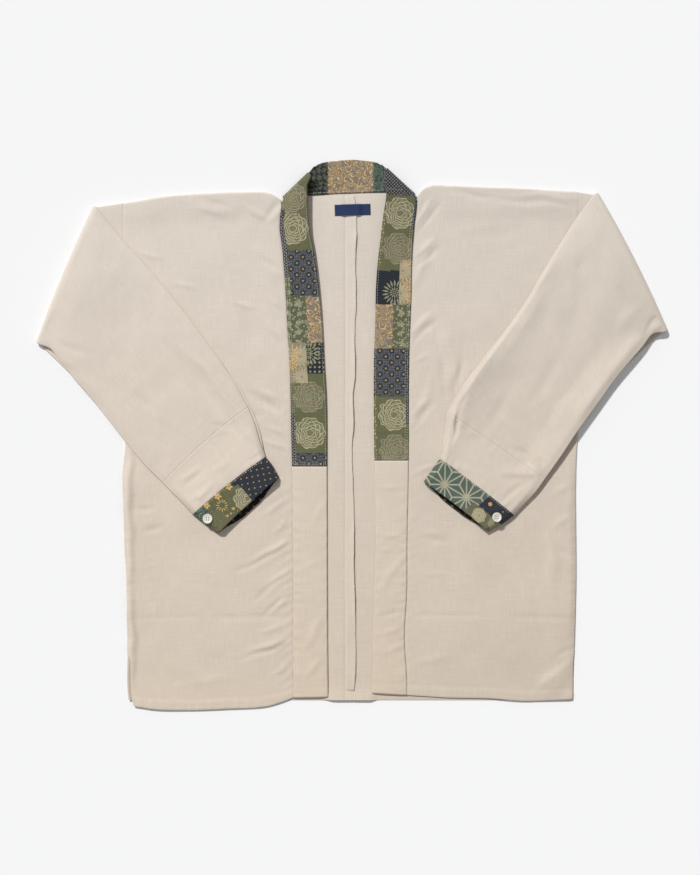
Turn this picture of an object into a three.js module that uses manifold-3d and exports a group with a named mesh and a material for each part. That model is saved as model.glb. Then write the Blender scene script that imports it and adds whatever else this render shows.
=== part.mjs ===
// A noragi jacket laid flat on its back, sleeves folded over the fronts.
// Millimetres. +Z is up, +Y runs from the hem to the neck, and X runs across the body.
// Left and right are the wearer's, so the right half lies at negative X.
import * as THREE from 'three';
import Module from 'manifold-3d';
import { mergeVertices } from 'three/addons/utils/BufferGeometryUtils.js';

// Cloth and seams
const CLOTH = 1.2;            // wall of one layer of the body cloth
const DOUBLED = 2.4;          // wall of the bands and the collar, sewn double
const CUFF_WALL = 2.0;        // wall of a cuff
const SEAM_GAP = 0.3;         // gap between two pieces at a seam
const FRONT_REST = 2.7;       // height of a front's top face where it lies on the back
const LAYER_CLEAR = 1.0;      // air between a folded sleeve and the front under it
const EDGE_ROLL = 3;          // length over which a tube's edge rounds over

// Body, flat sizes
const CENTRE_SEAM_X = -11;    // centre-back seam
const BACK_HEM_Y = -350;
const UNDERARM_Y = 8;         // where the armhole ends and the side seam starts
const VENT_TOP_Y = -287;      // where the side seam ends and the vent starts
const SHOULDER_PUFF = 3.0;    // rise of the front where it folds over the shoulder
const SHOULDER_FADE = 45;     // length over which that rise fades
const SIDE_ROLL = 2.6;        // rise of the front just inside the side seam
const SIDE_ROLL_IN = 7;       // distance in from the seam where that rise is full
const SIDE_ROLL_FADE = 55;    // length over which it fades again
const HEM_ROLL = 0.4;         // share of that rise that is left beside the vent
const HEM_ROLL_FADE = 60;     // length over which it drops to that share

// Folded sleeves
const TUBE_AIR = 0.6;         // air between the two layers at a tube's edges
const TUBE_PUFF = 1.2;        // more air between them away from the edges
const TUBE_SETTLE = 30;       // distance from the fold over which the layers settle
const LAP_FADE = 0.4;         // share of a cuff over which its under layer's lap fades in and out

// Collar and bands
const COLLAR_REST = 1.6;      // height of the underside of a front band
const COLLAR_END_Y = { right: -42, left: -34.2 };

// Cuff, button and label
const CUFF_HEIGHT = 9.8;      // outer height of a flattened cuff. Each sleeve's lap below is
                              // how far the cuff's under layer runs past its upper one
const MOUTH_BOW = -1.5;       // how far the mouth's edge curves back in its middle
const CUFF_EDGE = 0.06;       // share of a cuff's width over which its ends round down
const SLEEVE_STEPS = 8;       // cells across each layer of a sleeve
const CUFF_STEPS = 12;        // cells across each layer of a cuff
const BUTTON_RADIUS = 6.35;
const BUTTON_THICK = 2.6;
const BUTTON_RIM = 1.4;
const BUTTON_HOLE_RADIUS = 0.8;
const BUTTON_HOLE_OFFSET = 1.5;
const BUTTON_SIDES = 28;
const LABEL = { x: -0.3, y: 296.5, width: 47, depth: 14.5, turn: 0.03, thick: 1 };

// Moves the whole garment so that the origin is under the middle of its box
const CENTRE_SHIFT = { x: 1.2, y: 0.7 };

// Outline of each half, from hem to neck: x against y
const OUTLINE = {
  right: {
    side: [
      { y: -362, x: -292 }, { y: -350, x: -295.5 }, { y: -287, x: -297.3 },
      { y: -189, x: -298.6 }, { y: -152, x: -301 }, { y: -103, x: -302.1 },
      { y: -55, x: -303.9 }, { y: -12, x: -300 }, { y: 8, x: -302.7 }, { y: 330, x: -302.7 },
    ],
    seam: [
      { y: -362, x: -79 }, { y: -330, x: -78.7 }, { y: -42, x: -80 }, { y: 2, x: -81.2 },
      { y: 52, x: -82.1 }, { y: 103, x: -83.8 }, { y: 138, x: -86.1 }, { y: 190, x: -88.8 },
      { y: 244, x: -92.9 }, { y: 275, x: -96.5 }, { y: 300, x: -94.6 }, { y: 330, x: -94.4 },
    ],
    shoulder: [
      { x: -338.3, y: 303 }, { x: -300, y: 305.7 }, { x: -246, y: 314.2 }, { x: -209, y: 317.2 },
      { x: -145, y: 319.6 }, { x: -106, y: 317 }, { x: -94.4, y: 309 },
    ],
    hem: [
      { x: -303, y: -352 }, { x: -292, y: -355.3 }, { x: -266, y: -361.9 },
      { x: -220, y: -363.1 }, { x: -167, y: -361.3 }, { x: -115, y: -358.2 },
      { x: -93, y: -352.2 }, { x: -79.7, y: -347 },
    ],
  },
  left: {
    side: [
      { y: -362, x: 290 }, { y: -350, x: 290.7 }, { y: -287, x: 291.5 }, { y: -181, x: 294.2 },
      { y: -90, x: 293.6 }, { y: -20, x: 294.9 }, { y: 8, x: 297.3 }, { y: 330, x: 297.3 },
    ],
    seam: [
      { y: -362, x: 71.5 }, { y: -323, x: 71 }, { y: -266, x: 68 }, { y: -208, x: 71 },
      { y: -139, x: 71.5 }, { y: -34, x: 73.5 }, { y: 52, x: 73.7 }, { y: 103, x: 74.2 },
      { y: 154, x: 75.9 }, { y: 190, x: 77.2 }, { y: 232, x: 77.9 }, { y: 272, x: 80.5 },
      { y: 311, x: 84.9 }, { y: 330, x: 84.9 },
    ],
    shoulder: [
      { x: 84.9, y: 313.5 }, { x: 92.4, y: 323.5 }, { x: 128, y: 328.2 }, { x: 168, y: 326.4 },
      { x: 230, y: 324.2 }, { x: 292, y: 320.5 }, { x: 319, y: 321 },
    ],
    hem: [
      { x: 71.5, y: -343.3 }, { x: 125, y: -346.6 }, { x: 180, y: -347.7 },
      { x: 230, y: -351 }, { x: 289, y: -349 }, { x: 300, y: -349 },
    ],
  },
};

// Back neckline, y against x
const NECKLINE = [
  { x: -94, y: 309 }, { x: -74, y: 314 }, { x: -60, y: 315 }, { x: -30, y: 317 },
  { x: 3, y: 318.4 }, { x: 45, y: 319.6 }, { x: 66, y: 318.5 }, { x: 85, y: 313 },
];

// Free edge of the band and collar, x against y
const FREE_EDGE = {
  right: [
    { y: -347, x: -32.7 }, { y: -290, x: -33.4 }, { y: -42, x: -34.1 }, { y: 2, x: -34.1 },
    { y: 52, x: -35.1 }, { y: 103, x: -38.3 }, { y: 138, x: -40.1 }, { y: 190, x: -44.6 },
    { y: 244, x: -52 }, { y: 271, x: -57.2 }, { y: 316, x: -60.2 }, { y: 350, x: -60.5 },
  ],
  left: [
    { y: -342, x: 25.3 }, { y: -266, x: 26.3 }, { y: -125, x: 29.8 }, { y: -34, x: 28.6 },
    { y: 2, x: 28.2 }, { y: 52, x: 27.9 }, { y: 103, x: 28.2 }, { y: 145, x: 29.8 },
    { y: 190, x: 30.6 }, { y: 225, x: 32.9 }, { y: 254, x: 36.4 }, { y: 290, x: 40.7 },
    { y: 318, x: 44.4 }, { y: 347, x: 40 }, { y: 360, x: 34 },
  ],
};

// Hems of the bands: y at the seam and at the free edge
const BAND_HEM = { right: { seam: -347, free: -346.3 }, left: { seam: -343.5, free: -341 } };

// Mitre folds of the collar: the fold line's ends, and the fold's axis height at each end
const MITRE = {
  right: { seamX: -90.8, seamY: 310.8, freeX: -54, freeY: 338.5, seamRise: 3.6, freeRise: 8.6 },
  left: { seamX: 80.4, seamY: 314.6, freeX: 41, freeY: 345.5, seamRise: 3.6, freeRise: 8.2 },
};

// Front strips of the collar below the mitre: the sewn edge's and free edge's y, and how far
// the strip stands above its rest height at each edge
const COLLAR_ROWS = {
  right: [
    { seamY: 303, freeY: 328, seamLift: 2.6, freeLift: 13.2 },
    { seamY: 289, freeY: 309, seamLift: 2.2, freeLift: 11.6 },
    { seamY: 268, freeY: 282, seamLift: 1.6, freeLift: 9 },
    { seamY: 244, freeY: 252, seamLift: 1.2, freeLift: 6.6 },
    { seamY: 216, freeY: 220, seamLift: 0.9, freeLift: 4.6 },
    { seamY: 186, freeY: 188, seamLift: 0.6, freeLift: 3 },
    { seamY: 150, freeY: 151, seamLift: 0.4, freeLift: 1.8 },
    { seamY: 110, freeY: 110, seamLift: 0.2, freeLift: 1 },
    { seamY: 60, freeY: 60, seamLift: 0.1, freeLift: 0.5 },
    { seamY: 8, freeY: 8, seamLift: 0, freeLift: 0.2 },
    { seamY: -42, freeY: -42, seamLift: 0, freeLift: 0 },
  ],
  left: [
    { seamY: 309, freeY: 338, seamLift: 2.6, freeLift: 12.4 },
    { seamY: 296, freeY: 320, seamLift: 2.2, freeLift: 10.8 },
    { seamY: 274, freeY: 290, seamLift: 1.6, freeLift: 8.2 },
    { seamY: 248, freeY: 258, seamLift: 1.2, freeLift: 6 },
    { seamY: 218, freeY: 223, seamLift: 0.9, freeLift: 4.2 },
    { seamY: 186, freeY: 188, seamLift: 0.6, freeLift: 2.8 },
    { seamY: 150, freeY: 151, seamLift: 0.4, freeLift: 1.7 },
    { seamY: 110, freeY: 110, seamLift: 0.2, freeLift: 1 },
    { seamY: 60, freeY: 60, seamLift: 0.1, freeLift: 0.5 },
    { seamY: 12, freeY: 12, seamLift: 0, freeLift: 0.2 },
    { seamY: -34.2, freeY: -34.2, seamLift: 0, freeLift: 0 },
  ],
};

// Top edge of the back neck strip, y against x, from one mitre to the other
const NECK_TOP = [
  { x: -54, y: 338.5 }, { x: -50, y: 353 }, { x: -44, y: 357 }, { x: -34, y: 359.5 },
  { x: -20, y: 361 }, { x: 0, y: 362.5 }, { x: 16, y: 361 }, { x: 28, y: 359.5 },
  { x: 37, y: 354.5 }, { x: 41, y: 345.5 },
];

// Free edge of the centre-back seam allowance, x against y
const ALLOWANCE_EDGE = [
  { y: 315, x: 2.1 }, { y: 287, x: 4.9 }, { y: 268, x: 4.8 }, { y: 230, x: 3.2 },
  { y: 178, x: 4.2 }, { y: 125, x: 2.1 }, { y: 85, x: 2.9 }, { y: 46, x: -0.4 },
  { y: 19, x: 0.8 }, { y: -20, x: -1.3 }, { y: -73, x: 0.3 }, { y: -112, x: 1.6 },
  { y: -165, x: 1.1 }, { y: -218, x: 2.6 }, { y: -284, x: 3.8 }, { y: -324, x: 2.6 },
  { y: -337, x: 1.6 },
];

// Sleeves. Plan points of the chords across the flattened tube, from its top edge to its
// underarm edge. The tube leaves the armhole, folds over at the fold line and lies on the
// front. axis is the height of the fold's axis, at its ends and how much more in its middle.
const SLEEVE = {
  right: {
    armhole: { topX: -303.2, topY: 305.2, underX: -303.2, underY: 8 },
    fold: { topX: -337.5, topY: 300, underX: -413, underY: 119 },
    axis: { ends: 4.6, middle: 2.2 },
    outward: -1,
    drop: 70,
    laid: [
      { topX: -331, topY: 291, underX: -398, underY: 113 },
      { topX: -318, topY: 275, underX: -386, underY: 98 },
      { topX: -300, topY: 253, underX: -368, underY: 75 },
      { topX: -276, topY: 227, underX: -349, underY: 53 },
      { topX: -250, topY: 197, underX: -331, underY: 31 },
      { topX: -222, topY: 162, underX: -311, underY: 5 },
      { topX: -196, topY: 127, underX: -291, underY: -20 },
      { topX: -172, topY: 94, underX: -273, underY: -41 },
      { topX: -152, topY: 65, underX: -259, underY: -55 },
      { topX: -136.5, topY: 38, underX: -251, underY: -63 },
    ],
    forearm: [
      { topX: -136.2, topY: 37, underX: -250.6, underY: -63.6 },
      { topX: -127, topY: 15, underX: -241, underY: -73.5 },
      { topX: -120.5, topY: -8, underX: -228, underY: -86.5 },
      { topX: -115, topY: -29, underX: -211, underY: -105 },
    ],
    cuff: [
      { topX: -114.8, topY: -29.8, underX: -210.4, underY: -105.7 },
      { topX: -106, topY: -40, underX: -196, underY: -117 },
      { topX: -96.8, topY: -56.5, underX: -177.5, underY: -130.5 },
    ],
    button: { x: -190.6, y: -110.5, lean: 0 },
    lap: 8,
    bow: 4,
  },
  left: {
    armhole: { topX: 297.8, topY: 319.6, underX: 297.8, underY: 8 },
    fold: { topX: 318, topY: 316.5, underX: 410, underY: 135 },
    axis: { ends: 5.6, middle: 3 },
    outward: 1,
    drop: 120,
    laid: [
      { topX: 315, topY: 313, underX: 394, underY: 132 },
      { topX: 305, topY: 300, underX: 381, underY: 116 },
      { topX: 291, topY: 280, underX: 363, underY: 95 },
      { topX: 271, topY: 249, underX: 344, underY: 72 },
      { topX: 250, topY: 214, underX: 326, underY: 47 },
      { topX: 226, topY: 173, underX: 308, underY: 22 },
      { topX: 198, topY: 134, underX: 291, underY: -2 },
      { topX: 170, topY: 99, underX: 276, underY: -25 },
      { topX: 145, topY: 64, underX: 262, underY: -45 },
      { topX: 124.6, topY: 30, underX: 252.8, underY: -58 },
    ],
    forearm: [
      { topX: 124.4, topY: 29, underX: 252.2, underY: -58.8 },
      { topX: 122.5, topY: 9, underX: 241, underY: -75 },
      { topX: 119, topY: -11, underX: 227, underY: -90.5 },
      { topX: 115, topY: -31, underX: 212.8, underY: -105.7 },
    ],
    cuff: [
      { topX: 114.6, topY: -31.8, underX: 212.2, underY: -106.3 },
      { topX: 105, topY: -45, underX: 197, underY: -117.5 },
      { topX: 93.2, topY: -62, underX: 178.5, underY: -127.8 },
    ],
    button: { x: 188.6, y: -108.5, lean: 0.3 },
    lap: 5,
    bow: 0,
  },
};

// Folds and creases of each front: a soft ridge from x1, y1 to x2, y2
const FRONT_FOLDS = {
  right: [
    { x1: -290, y1: -60, x2: -287, y2: -350, width: 16, height: 1.3 },
    { x1: -136, y1: -176, x2: -84, y2: -143, width: 13, height: 1.6 },
    { x1: -114, y1: -207, x2: -82, y2: -180, width: 11, height: 1.4 },
    { x1: -112, y1: -230, x2: -82, y2: -202, width: 11, height: 1.3 },
    { x1: -137, y1: -290, x2: -84, y2: -270, width: 13, height: 1.4 },
    { x1: -126, y1: -92, x2: -84, y2: -66, width: 12, height: 1.3 },
    { x1: -285, y1: -238, x2: -84, y2: -242, width: 15, height: 0.9 },
    { x1: -198, y1: 304, x2: -150, y2: 292, width: 16, height: 1.5 },
    { x1: -130, y1: 250, x2: -100, y2: 205, width: 14, height: 1.2 },
    { x1: -120, y1: 170, x2: -92, y2: 130, width: 13, height: 1.0 },
    { x1: -250, y1: -300, x2: -180, y2: -330, width: 18, height: 0.9 },
  ],
  left: [
    { x1: 124, y1: 296, x2: 282, y2: 304, width: 18, height: 1.6 },
    { x1: 84, y1: 272, x2: 106, y2: 300, width: 13, height: 1.5 },
    { x1: 82, y1: 238, x2: 112, y2: 256, width: 13, height: 1.4 },
    { x1: 80, y1: 196, x2: 100, y2: 236, width: 13, height: 1.2 },
    { x1: 78, y1: 134, x2: 106, y2: 156, width: 12, height: 1.2 },
    { x1: 118, y1: 134, x2: 126, y2: 62, width: 17, height: 1.3 },
    { x1: 76, y1: 8, x2: 104, y2: 38, width: 12, height: 1.1 },
    { x1: 76, y1: -236, x2: 160, y2: -234, width: 13, height: 1.3 },
    { x1: 90, y1: -138, x2: 116, y2: -150, width: 13, height: 1.1 },
    { x1: 226, y1: -206, x2: 234, y2: -240, width: 14, height: 1.0 },
    { x1: 288, y1: -292, x2: 242, y2: -332, width: 15, height: 1.4 },
  ],
};

// Folds of each laid sleeve
const SLEEVE_FOLDS = {
  right: [
    { x1: -378, y1: 160, x2: -330, y2: 232, width: 26, height: 3.2 },
    { x1: -286, y1: 244, x2: -170, y2: 108, width: 24, height: 2.6 },
    { x1: -178, y1: 44, x2: -124, y2: -22, width: 16, height: 2.4 },
    { x1: -350, y1: 70, x2: -262, y2: -26, width: 20, height: 2.2 },
    { x1: -292, y1: 150, x2: -214, y2: 44, width: 30, height: 1.8 },
  ],
  left: [
    { x1: 268, y1: 200, x2: 150, y2: 36, width: 20, height: 2.8 },
    { x1: 300, y1: 250, x2: 268, y2: 150, width: 24, height: 3 },
    { x1: 384, y1: 128, x2: 300, y2: 24, width: 20, height: 2.4 },
    { x1: 344, y1: 214, x2: 296, y2: 96, width: 30, height: 2.2 },
    { x1: 190, y1: -50, x2: 246, y2: -46, width: 13, height: 1.6 },
  ],
};

const COLOURS = {
  cloth: { color: 0xdbcfc1, roughness: 0.9, metalness: 0 },
  band: { color: 0xd8ccbd, roughness: 0.9, metalness: 0 },
  pattern: { color: 0x5c6444, roughness: 0.85, metalness: 0 },
  cuff: { color: 0x4a5550, roughness: 0.85, metalness: 0 },
  label: { color: 0x1e325f, roughness: 0.7, metalness: 0 },
  button: { color: 0xebe8e1, roughness: 0.3, metalness: 0 },
};

const clamp01 = (value) => Math.min(1, Math.max(0, value));
const mix = (a, b, t) => a + (b - a) * t;

function smooth(value) {
  const t = clamp01(value);
  return t * t * (3 - 2 * t);
}

// Reads one column of a table against another, with straight stretches between its rows
function read(table, key, value, at) {
  const rows = table[0][key] < table[table.length - 1][key] ? table : [...table].reverse();
  if (at <= rows[0][key]) return rows[0][value];
  for (let i = 1; i < rows.length; i += 1) {
    if (at <= rows[i][key]) {
      const t = (at - rows[i - 1][key]) / (rows[i][key] - rows[i - 1][key]);
      return mix(rows[i - 1][value], rows[i][value], t);
    }
  }
  return rows[rows.length - 1][value];
}

// Height of all the soft folds of a table at one place
function relief(folds, x, y) {
  let height = 0;
  for (const fold of folds) {
    const dx = fold.x2 - fold.x1;
    const dy = fold.y2 - fold.y1;
    const long = Math.hypot(dx, dy);
    const along = ((x - fold.x1) * dx + (y - fold.y1) * dy) / (long * long);
    const side = Math.abs((x - fold.x1) * dy - (y - fold.y1) * dx) / long;
    const ends = smooth((along + 0.12) / 0.3) * smooth((1.12 - along) / 0.3);
    height += fold.height * ends * (1 - smooth(side / fold.width));
  }
  return height;
}

const sideX = (half, y) => read(OUTLINE[half].side, 'y', 'x', y);
const seamX = (half, y) => read(OUTLINE[half].seam, 'y', 'x', y);
const shoulderY = (half, x) => read(OUTLINE[half].shoulder, 'x', 'y', x);
const halfAt = (x) => (x < CENTRE_SEAM_X ? 'right' : 'left');

// Height of a front's top face, and of the sleeve's upper layer where it runs on from it
function frontTop(x, y) {
  const half = halfAt(x);
  const fromShoulder = shoulderY(half, x) - y;
  const fromSide = Math.abs(sideX(half, y) - x);
  const inside = Math.abs(x) < Math.abs(sideX(half, y));
  const roll = inside
    ? SIDE_ROLL * smooth(fromSide / SIDE_ROLL_IN) * (1 - smooth(fromSide / SIDE_ROLL_FADE))
      * smooth((UNDERARM_Y - 20 - y) / 70)
    : 0;
  const puff = SHOULDER_PUFF * (1 - smooth(fromShoulder / SHOULDER_FADE));
  const hemFade = mix(HEM_ROLL, 1, smooth((y - VENT_TOP_Y) / HEM_ROLL_FADE));
  return FRONT_REST + puff + roll * hemFade + relief(FRONT_FOLDS[half], x, y);
}

// Closes a grid of inner and outer points into one wall. closed joins the last column to the
// first. keep(row, column) says which cells are cloth. Edges get their rims.
function wall(grid, { closed = false, keep = () => true } = {}) {
  const rows = grid.length;
  const columns = grid[0].length;
  const cellColumns = closed ? columns : columns - 1;
  const positions = grid.flat().flatMap(({ inner, outer }) => [...inner.toArray(), ...outer.toArray()]);
  const inner = (r, c) => (r * columns + (c % columns)) * 2;
  const outer = (r, c) => inner(r, c) + 1;
  const triangles = [];
  const quad = (a, b, c, d) => triangles.push(a, b, c, a, c, d);
  const kept = (r, c) => {
    if (r < 0 || r >= rows - 1) return false;
    if (!closed && (c < 0 || c >= cellColumns)) return false;
    return keep(r, (c + cellColumns) % cellColumns);
  };
  for (let r = 0; r < rows - 1; r += 1) {
    for (let c = 0; c < cellColumns; c += 1) {
      if (!kept(r, c)) continue;
      quad(outer(r, c), outer(r, c + 1), outer(r + 1, c + 1), outer(r + 1, c));
      quad(inner(r, c), inner(r + 1, c), inner(r + 1, c + 1), inner(r, c + 1));
      if (!kept(r - 1, c)) quad(inner(r, c), inner(r, c + 1), outer(r, c + 1), outer(r, c));
      if (!kept(r + 1, c)) {
        quad(inner(r + 1, c + 1), inner(r + 1, c), outer(r + 1, c), outer(r + 1, c + 1));
      }
      if (!kept(r, c - 1)) quad(inner(r + 1, c), inner(r, c), outer(r, c), outer(r + 1, c));
      if (!kept(r, c + 1)) {
        quad(inner(r, c + 1), inner(r + 1, c + 1), outer(r + 1, c + 1), outer(r, c + 1));
      }
    }
  }
  return closedBody(positions, triangles);
}

// Makes the geometry, drops unused points and turns the faces outwards
function closedBody(positions, triangles) {
  const corner = (i) => new THREE.Vector3().fromArray(positions, triangles[i] * 3);
  let volume = 0;
  for (let i = 0; i < triangles.length; i += 3) {
    volume += corner(i).dot(corner(i + 1).cross(corner(i + 2)));
  }
  const order = volume < 0 ? [0, 2, 1] : [0, 1, 2];
  const flat = [];
  for (let i = 0; i < triangles.length; i += 3) {
    for (const k of order) flat.push(...positions.slice(triangles[i + k] * 3, triangles[i + k] * 3 + 3));
  }
  const loose = new THREE.BufferGeometry();
  loose.setAttribute('position', new THREE.Float32BufferAttribute(flat, 3));
  const geometry = mergeVertices(loose, 1e-3);
  geometry.computeVertexNormals();
  return geometry;
}

// One half of the body: the back, over the shoulder fold and down the front, cut in one
function bodyHalf(half) {
  const sign = half === 'right' ? -1 : 1;
  const sharedSteps = [0, 0.012, 0.034, 0.09, 0.18, 0.29, 0.4, 0.52, 0.64, 0.75, 0.85, 0.93, 1];
  const backSteps = [0.25, 0.5, 0.75, 1];
  const backRows = 7;
  const bendRows = 5;
  const frontRows = 40;
  const centreX = CENTRE_SEAM_X + sign * SEAM_GAP / 2;
  const shared = sharedSteps.length;
  const columns = shared + backSteps.length;
  const neckX = seamX(half, 330);
  const columnX = (c, y) => {
    if (c < shared) return mix(sideX(half, y), seamX(half, y), sharedSteps[c]);
    return mix(seamX(half, y), centreX, backSteps[c - shared]);
  };
  const grid = [];
  const backX = (c, y) => {
    if (c < shared) return mix(sideX(half, y), neckX, sharedSteps[c]);
    return mix(neckX, centreX, backSteps[c - shared]);
  };
  const bendAt = (c) => {
    const x = columnX(Math.min(c, shared - 1), 330);
    const y = shoulderY(half, x);
    return { x, y, radius: frontTop(x, y) / 2 };
  };
  for (let r = 0; r <= backRows; r += 1) {
    const row = [];
    for (let c = 0; c < columns; c += 1) {
      const bend = bendAt(c);
      const top = c < shared ? bend.y - bend.radius : read(NECKLINE, 'x', 'y', backX(c, 330)) - SEAM_GAP;
      const y = mix(BACK_HEM_Y, top, r / backRows);
      const x = backX(c, y);
      row.push({ outer: new THREE.Vector3(x, y, 0), inner: new THREE.Vector3(x, y, CLOTH) });
    }
    grid.push(row);
  }
  for (let r = 1; r < bendRows; r += 1) {
    const angle = (Math.PI * r) / bendRows;
    const row = [];
    for (let c = 0; c < columns; c += 1) {
      const { x, y, radius } = bendAt(c);
      const place = (size) => new THREE.Vector3(
        x, y - radius + Math.sin(angle) * size, radius - Math.cos(angle) * size);
      row.push({ outer: place(radius), inner: place(radius - CLOTH) });
    }
    grid.push(row);
  }
  for (let r = 0; r <= frontRows; r += 1) {
    const row = [];
    for (let c = 0; c < columns; c += 1) {
      const bend = bendAt(c);
      const foot = read(OUTLINE[half].hem, 'x', 'y', columnX(Math.min(c, shared - 1), -350));
      const y = mix(bend.y - bend.radius, foot, r / frontRows);
      const x = r === 0 ? bend.x : columnX(Math.min(c, shared - 1), y);
      const top = frontTop(x, y);
      row.push({ outer: new THREE.Vector3(x, y, top), inner: new THREE.Vector3(x, y, top - CLOTH) });
    }
    grid.push(row);
  }
  return wall(grid, { keep: (r, c) => c < shared - 1 || r < backRows });
}

// A strip that lies across the columns of its grid, with its underside at under(x, y)
function strip(rows, thickness) {
  const grid = rows.map((row) => row.map(({ x, y, z }) => ({
    inner: new THREE.Vector3(x, y, z),
    outer: new THREE.Vector3(x, y, z + thickness),
  })));
  return wall(grid);
}

// The plain band below the patterned collar, down to the hem
function frontBand(half) {
  const sign = half === 'right' ? 1 : -1;
  const top = COLLAR_END_Y[half] - SEAM_GAP;
  const steps = 16;
  const across = 5;
  const rows = [];
  for (let r = 0; r <= steps; r += 1) {
    const row = [];
    for (let c = 0; c <= across; c += 1) {
      const u = c / across;
      const foot = mix(BAND_HEM[half].seam, BAND_HEM[half].free, u);
      const y = mix(top, foot, r / steps);
      const x = mix(seamX(half, y) + sign * SEAM_GAP, read(FREE_EDGE[half], 'y', 'x', y), u);
      row.push({ x, y, z: COLLAR_REST });
    }
    rows.push(row);
  }
  return strip(rows, DOUBLED);
}

// The patterned collar: up one front, over a mitre fold, along the back neck, and over the
// other mitre fold down the other front
function collar() {
  const across = 5;
  const neckSteps = 10;
  const bendSteps = 6;
  const grid = [];
  const laidRow = (half, at) => {
    const sign = half === 'right' ? 1 : -1;
    const row = [];
    for (let c = 0; c <= across; c += 1) {
      const u = c / across;
      const y = mix(at.seamY, at.freeY, u);
      const sewn = seamX(half, at.seamY) + sign * SEAM_GAP;
      const x = mix(sewn, read(FREE_EDGE[half], 'y', 'x', at.freeY), u);
      const z = COLLAR_REST + mix(at.seamLift, at.freeLift, u ** 1.3);
      row.push({ outer: new THREE.Vector3(x, y, z + DOUBLED), inner: new THREE.Vector3(x, y, z) });
    }
    return row;
  };
  const mitreRow = (half, turn) => {
    const fold = MITRE[half];
    const outX = half === 'right' ? fold.seamY - fold.freeY : fold.freeY - fold.seamY;
    const outY = half === 'right' ? fold.freeX - fold.seamX : fold.seamX - fold.freeX;
    const out = new THREE.Vector2(outX, outY).normalize();
    const row = [];
    for (let c = 0; c <= across; c += 1) {
      const u = c / across;
      const axisHeight = mix(fold.seamRise, fold.freeRise, u);
      const place = (height) => {
        const radius = axisHeight - height;
        const swing = radius * Math.sin(Math.PI * turn);
        return new THREE.Vector3(
          mix(fold.seamX, fold.freeX, u) + out.x * swing,
          mix(fold.seamY, fold.freeY, u) + out.y * swing,
          axisHeight - radius * Math.cos(Math.PI * turn));
      };
      row.push({ outer: place(0), inner: place(DOUBLED) });
    }
    return row;
  };
  const neckRow = (t) => {
    const row = [];
    for (let c = 0; c <= across; c += 1) {
      const u = c / across;
      const sewnX = mix(MITRE.right.seamX, MITRE.left.seamX, t);
      const freeX = mix(MITRE.right.freeX, MITRE.left.freeX, t);
      const x = mix(sewnX, freeX, u);
      const sewnY = read(NECKLINE, 'x', 'y', sewnX) + SEAM_GAP;
      const y = mix(sewnY, read(NECK_TOP, 'x', 'y', freeX), u);
      row.push({ outer: new THREE.Vector3(x, y, 0), inner: new THREE.Vector3(x, y, DOUBLED) });
    }
    return row;
  };
  for (const at of [...COLLAR_ROWS.right].reverse()) grid.push(laidRow('right', at));
  for (let i = bendSteps; i >= 0; i -= 1) grid.push(mitreRow('right', i / bendSteps));
  for (let i = 1; i < neckSteps; i += 1) grid.push(neckRow(i / neckSteps));
  for (let i = 0; i <= bendSteps; i += 1) grid.push(mitreRow('left', i / bendSteps));
  for (const at of COLLAR_ROWS.left) grid.push(laidRow('left', at));
  return wall(grid);
}

// The strip of seam allowance that lies to one side of the centre-back seam
function seamAllowance() {
  const rest = CLOTH + SEAM_GAP;
  const curl = 0.8;
  const rows = ALLOWANCE_EDGE.map(({ x, y }) => [0, 0.55, 1].map((u) => ({
    x: mix(CENTRE_SEAM_X + SEAM_GAP, x, u), y, z: rest + (u === 1 ? curl : 0),
  })));
  return strip(rows, CLOTH);
}

// Flattened tube of a sleeve, forearm or cuff. chords run from one end to the other. Each
// gives its ends in plan and place(u, level, inset): level 0 is the layer that lies lowest at
// the armhole, level 1 the other, and inset goes from the outer face into the tube.
function tube(chords, thickness, across) {
  const grid = chords.map((chord) => {
    const long = Math.hypot(chord.underX - chord.topX, chord.underY - chord.topY);
    const roll = EDGE_ROLL * (thickness / CLOTH) / long;
    const wallU = thickness / long;
    const steps = [];
    for (let i = 0; i <= across; i += 1) steps.push(mix(roll, 1 - roll, i / across));
    const ring = [{ outer: chord.place(0, 0.5), inner: chord.place(wallU, 0.5) }];
    for (const u of steps) ring.push({ outer: chord.place(u, 0), inner: chord.place(u, 0, thickness) });
    ring.push({ outer: chord.place(1, 0.5), inner: chord.place(1 - wallU, 0.5) });
    for (const u of [...steps].reverse()) {
      ring.push({ outer: chord.place(u, 1), inner: chord.place(u, 1, -thickness) });
    }
    return ring;
  });
  return wall(grid, { closed: true });
}

// A chord that lies flat. layers(u, x, y) gives its underside and height. turned says that
// the layer that was uppermost at the armhole is now the lowest one.
function flatChord(ends, layers, { turned = false, bow = 0, bowX = 0, bowY = 0, lap = 0 } = {}) {
  const place = (u, level, inset = 0) => {
    const arch = bow * 4 * u * (1 - u);
    const lower = turned ? level : 1 - level;
    const lapHere = lap * lower * smooth(u / LAP_FADE) * smooth((1 - u) / LAP_FADE);
    const x = mix(ends.topX, ends.underX, u) + bowX * (arch + lapHere);
    const y = mix(ends.topY, ends.underY, u) + bowY * (arch + lapHere);
    const { under, height } = layers(u, x, y);
    const h = mix(0, height, level) + inset;
    return new THREE.Vector3(x, y, turned ? under + height - h : under + h);
  };
  return { ...ends, place };
}

// Height of what a laid sleeve rests on
function restUnder(x, y) {
  return frontTop(x, y) + LAYER_CLEAR;
}

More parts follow.
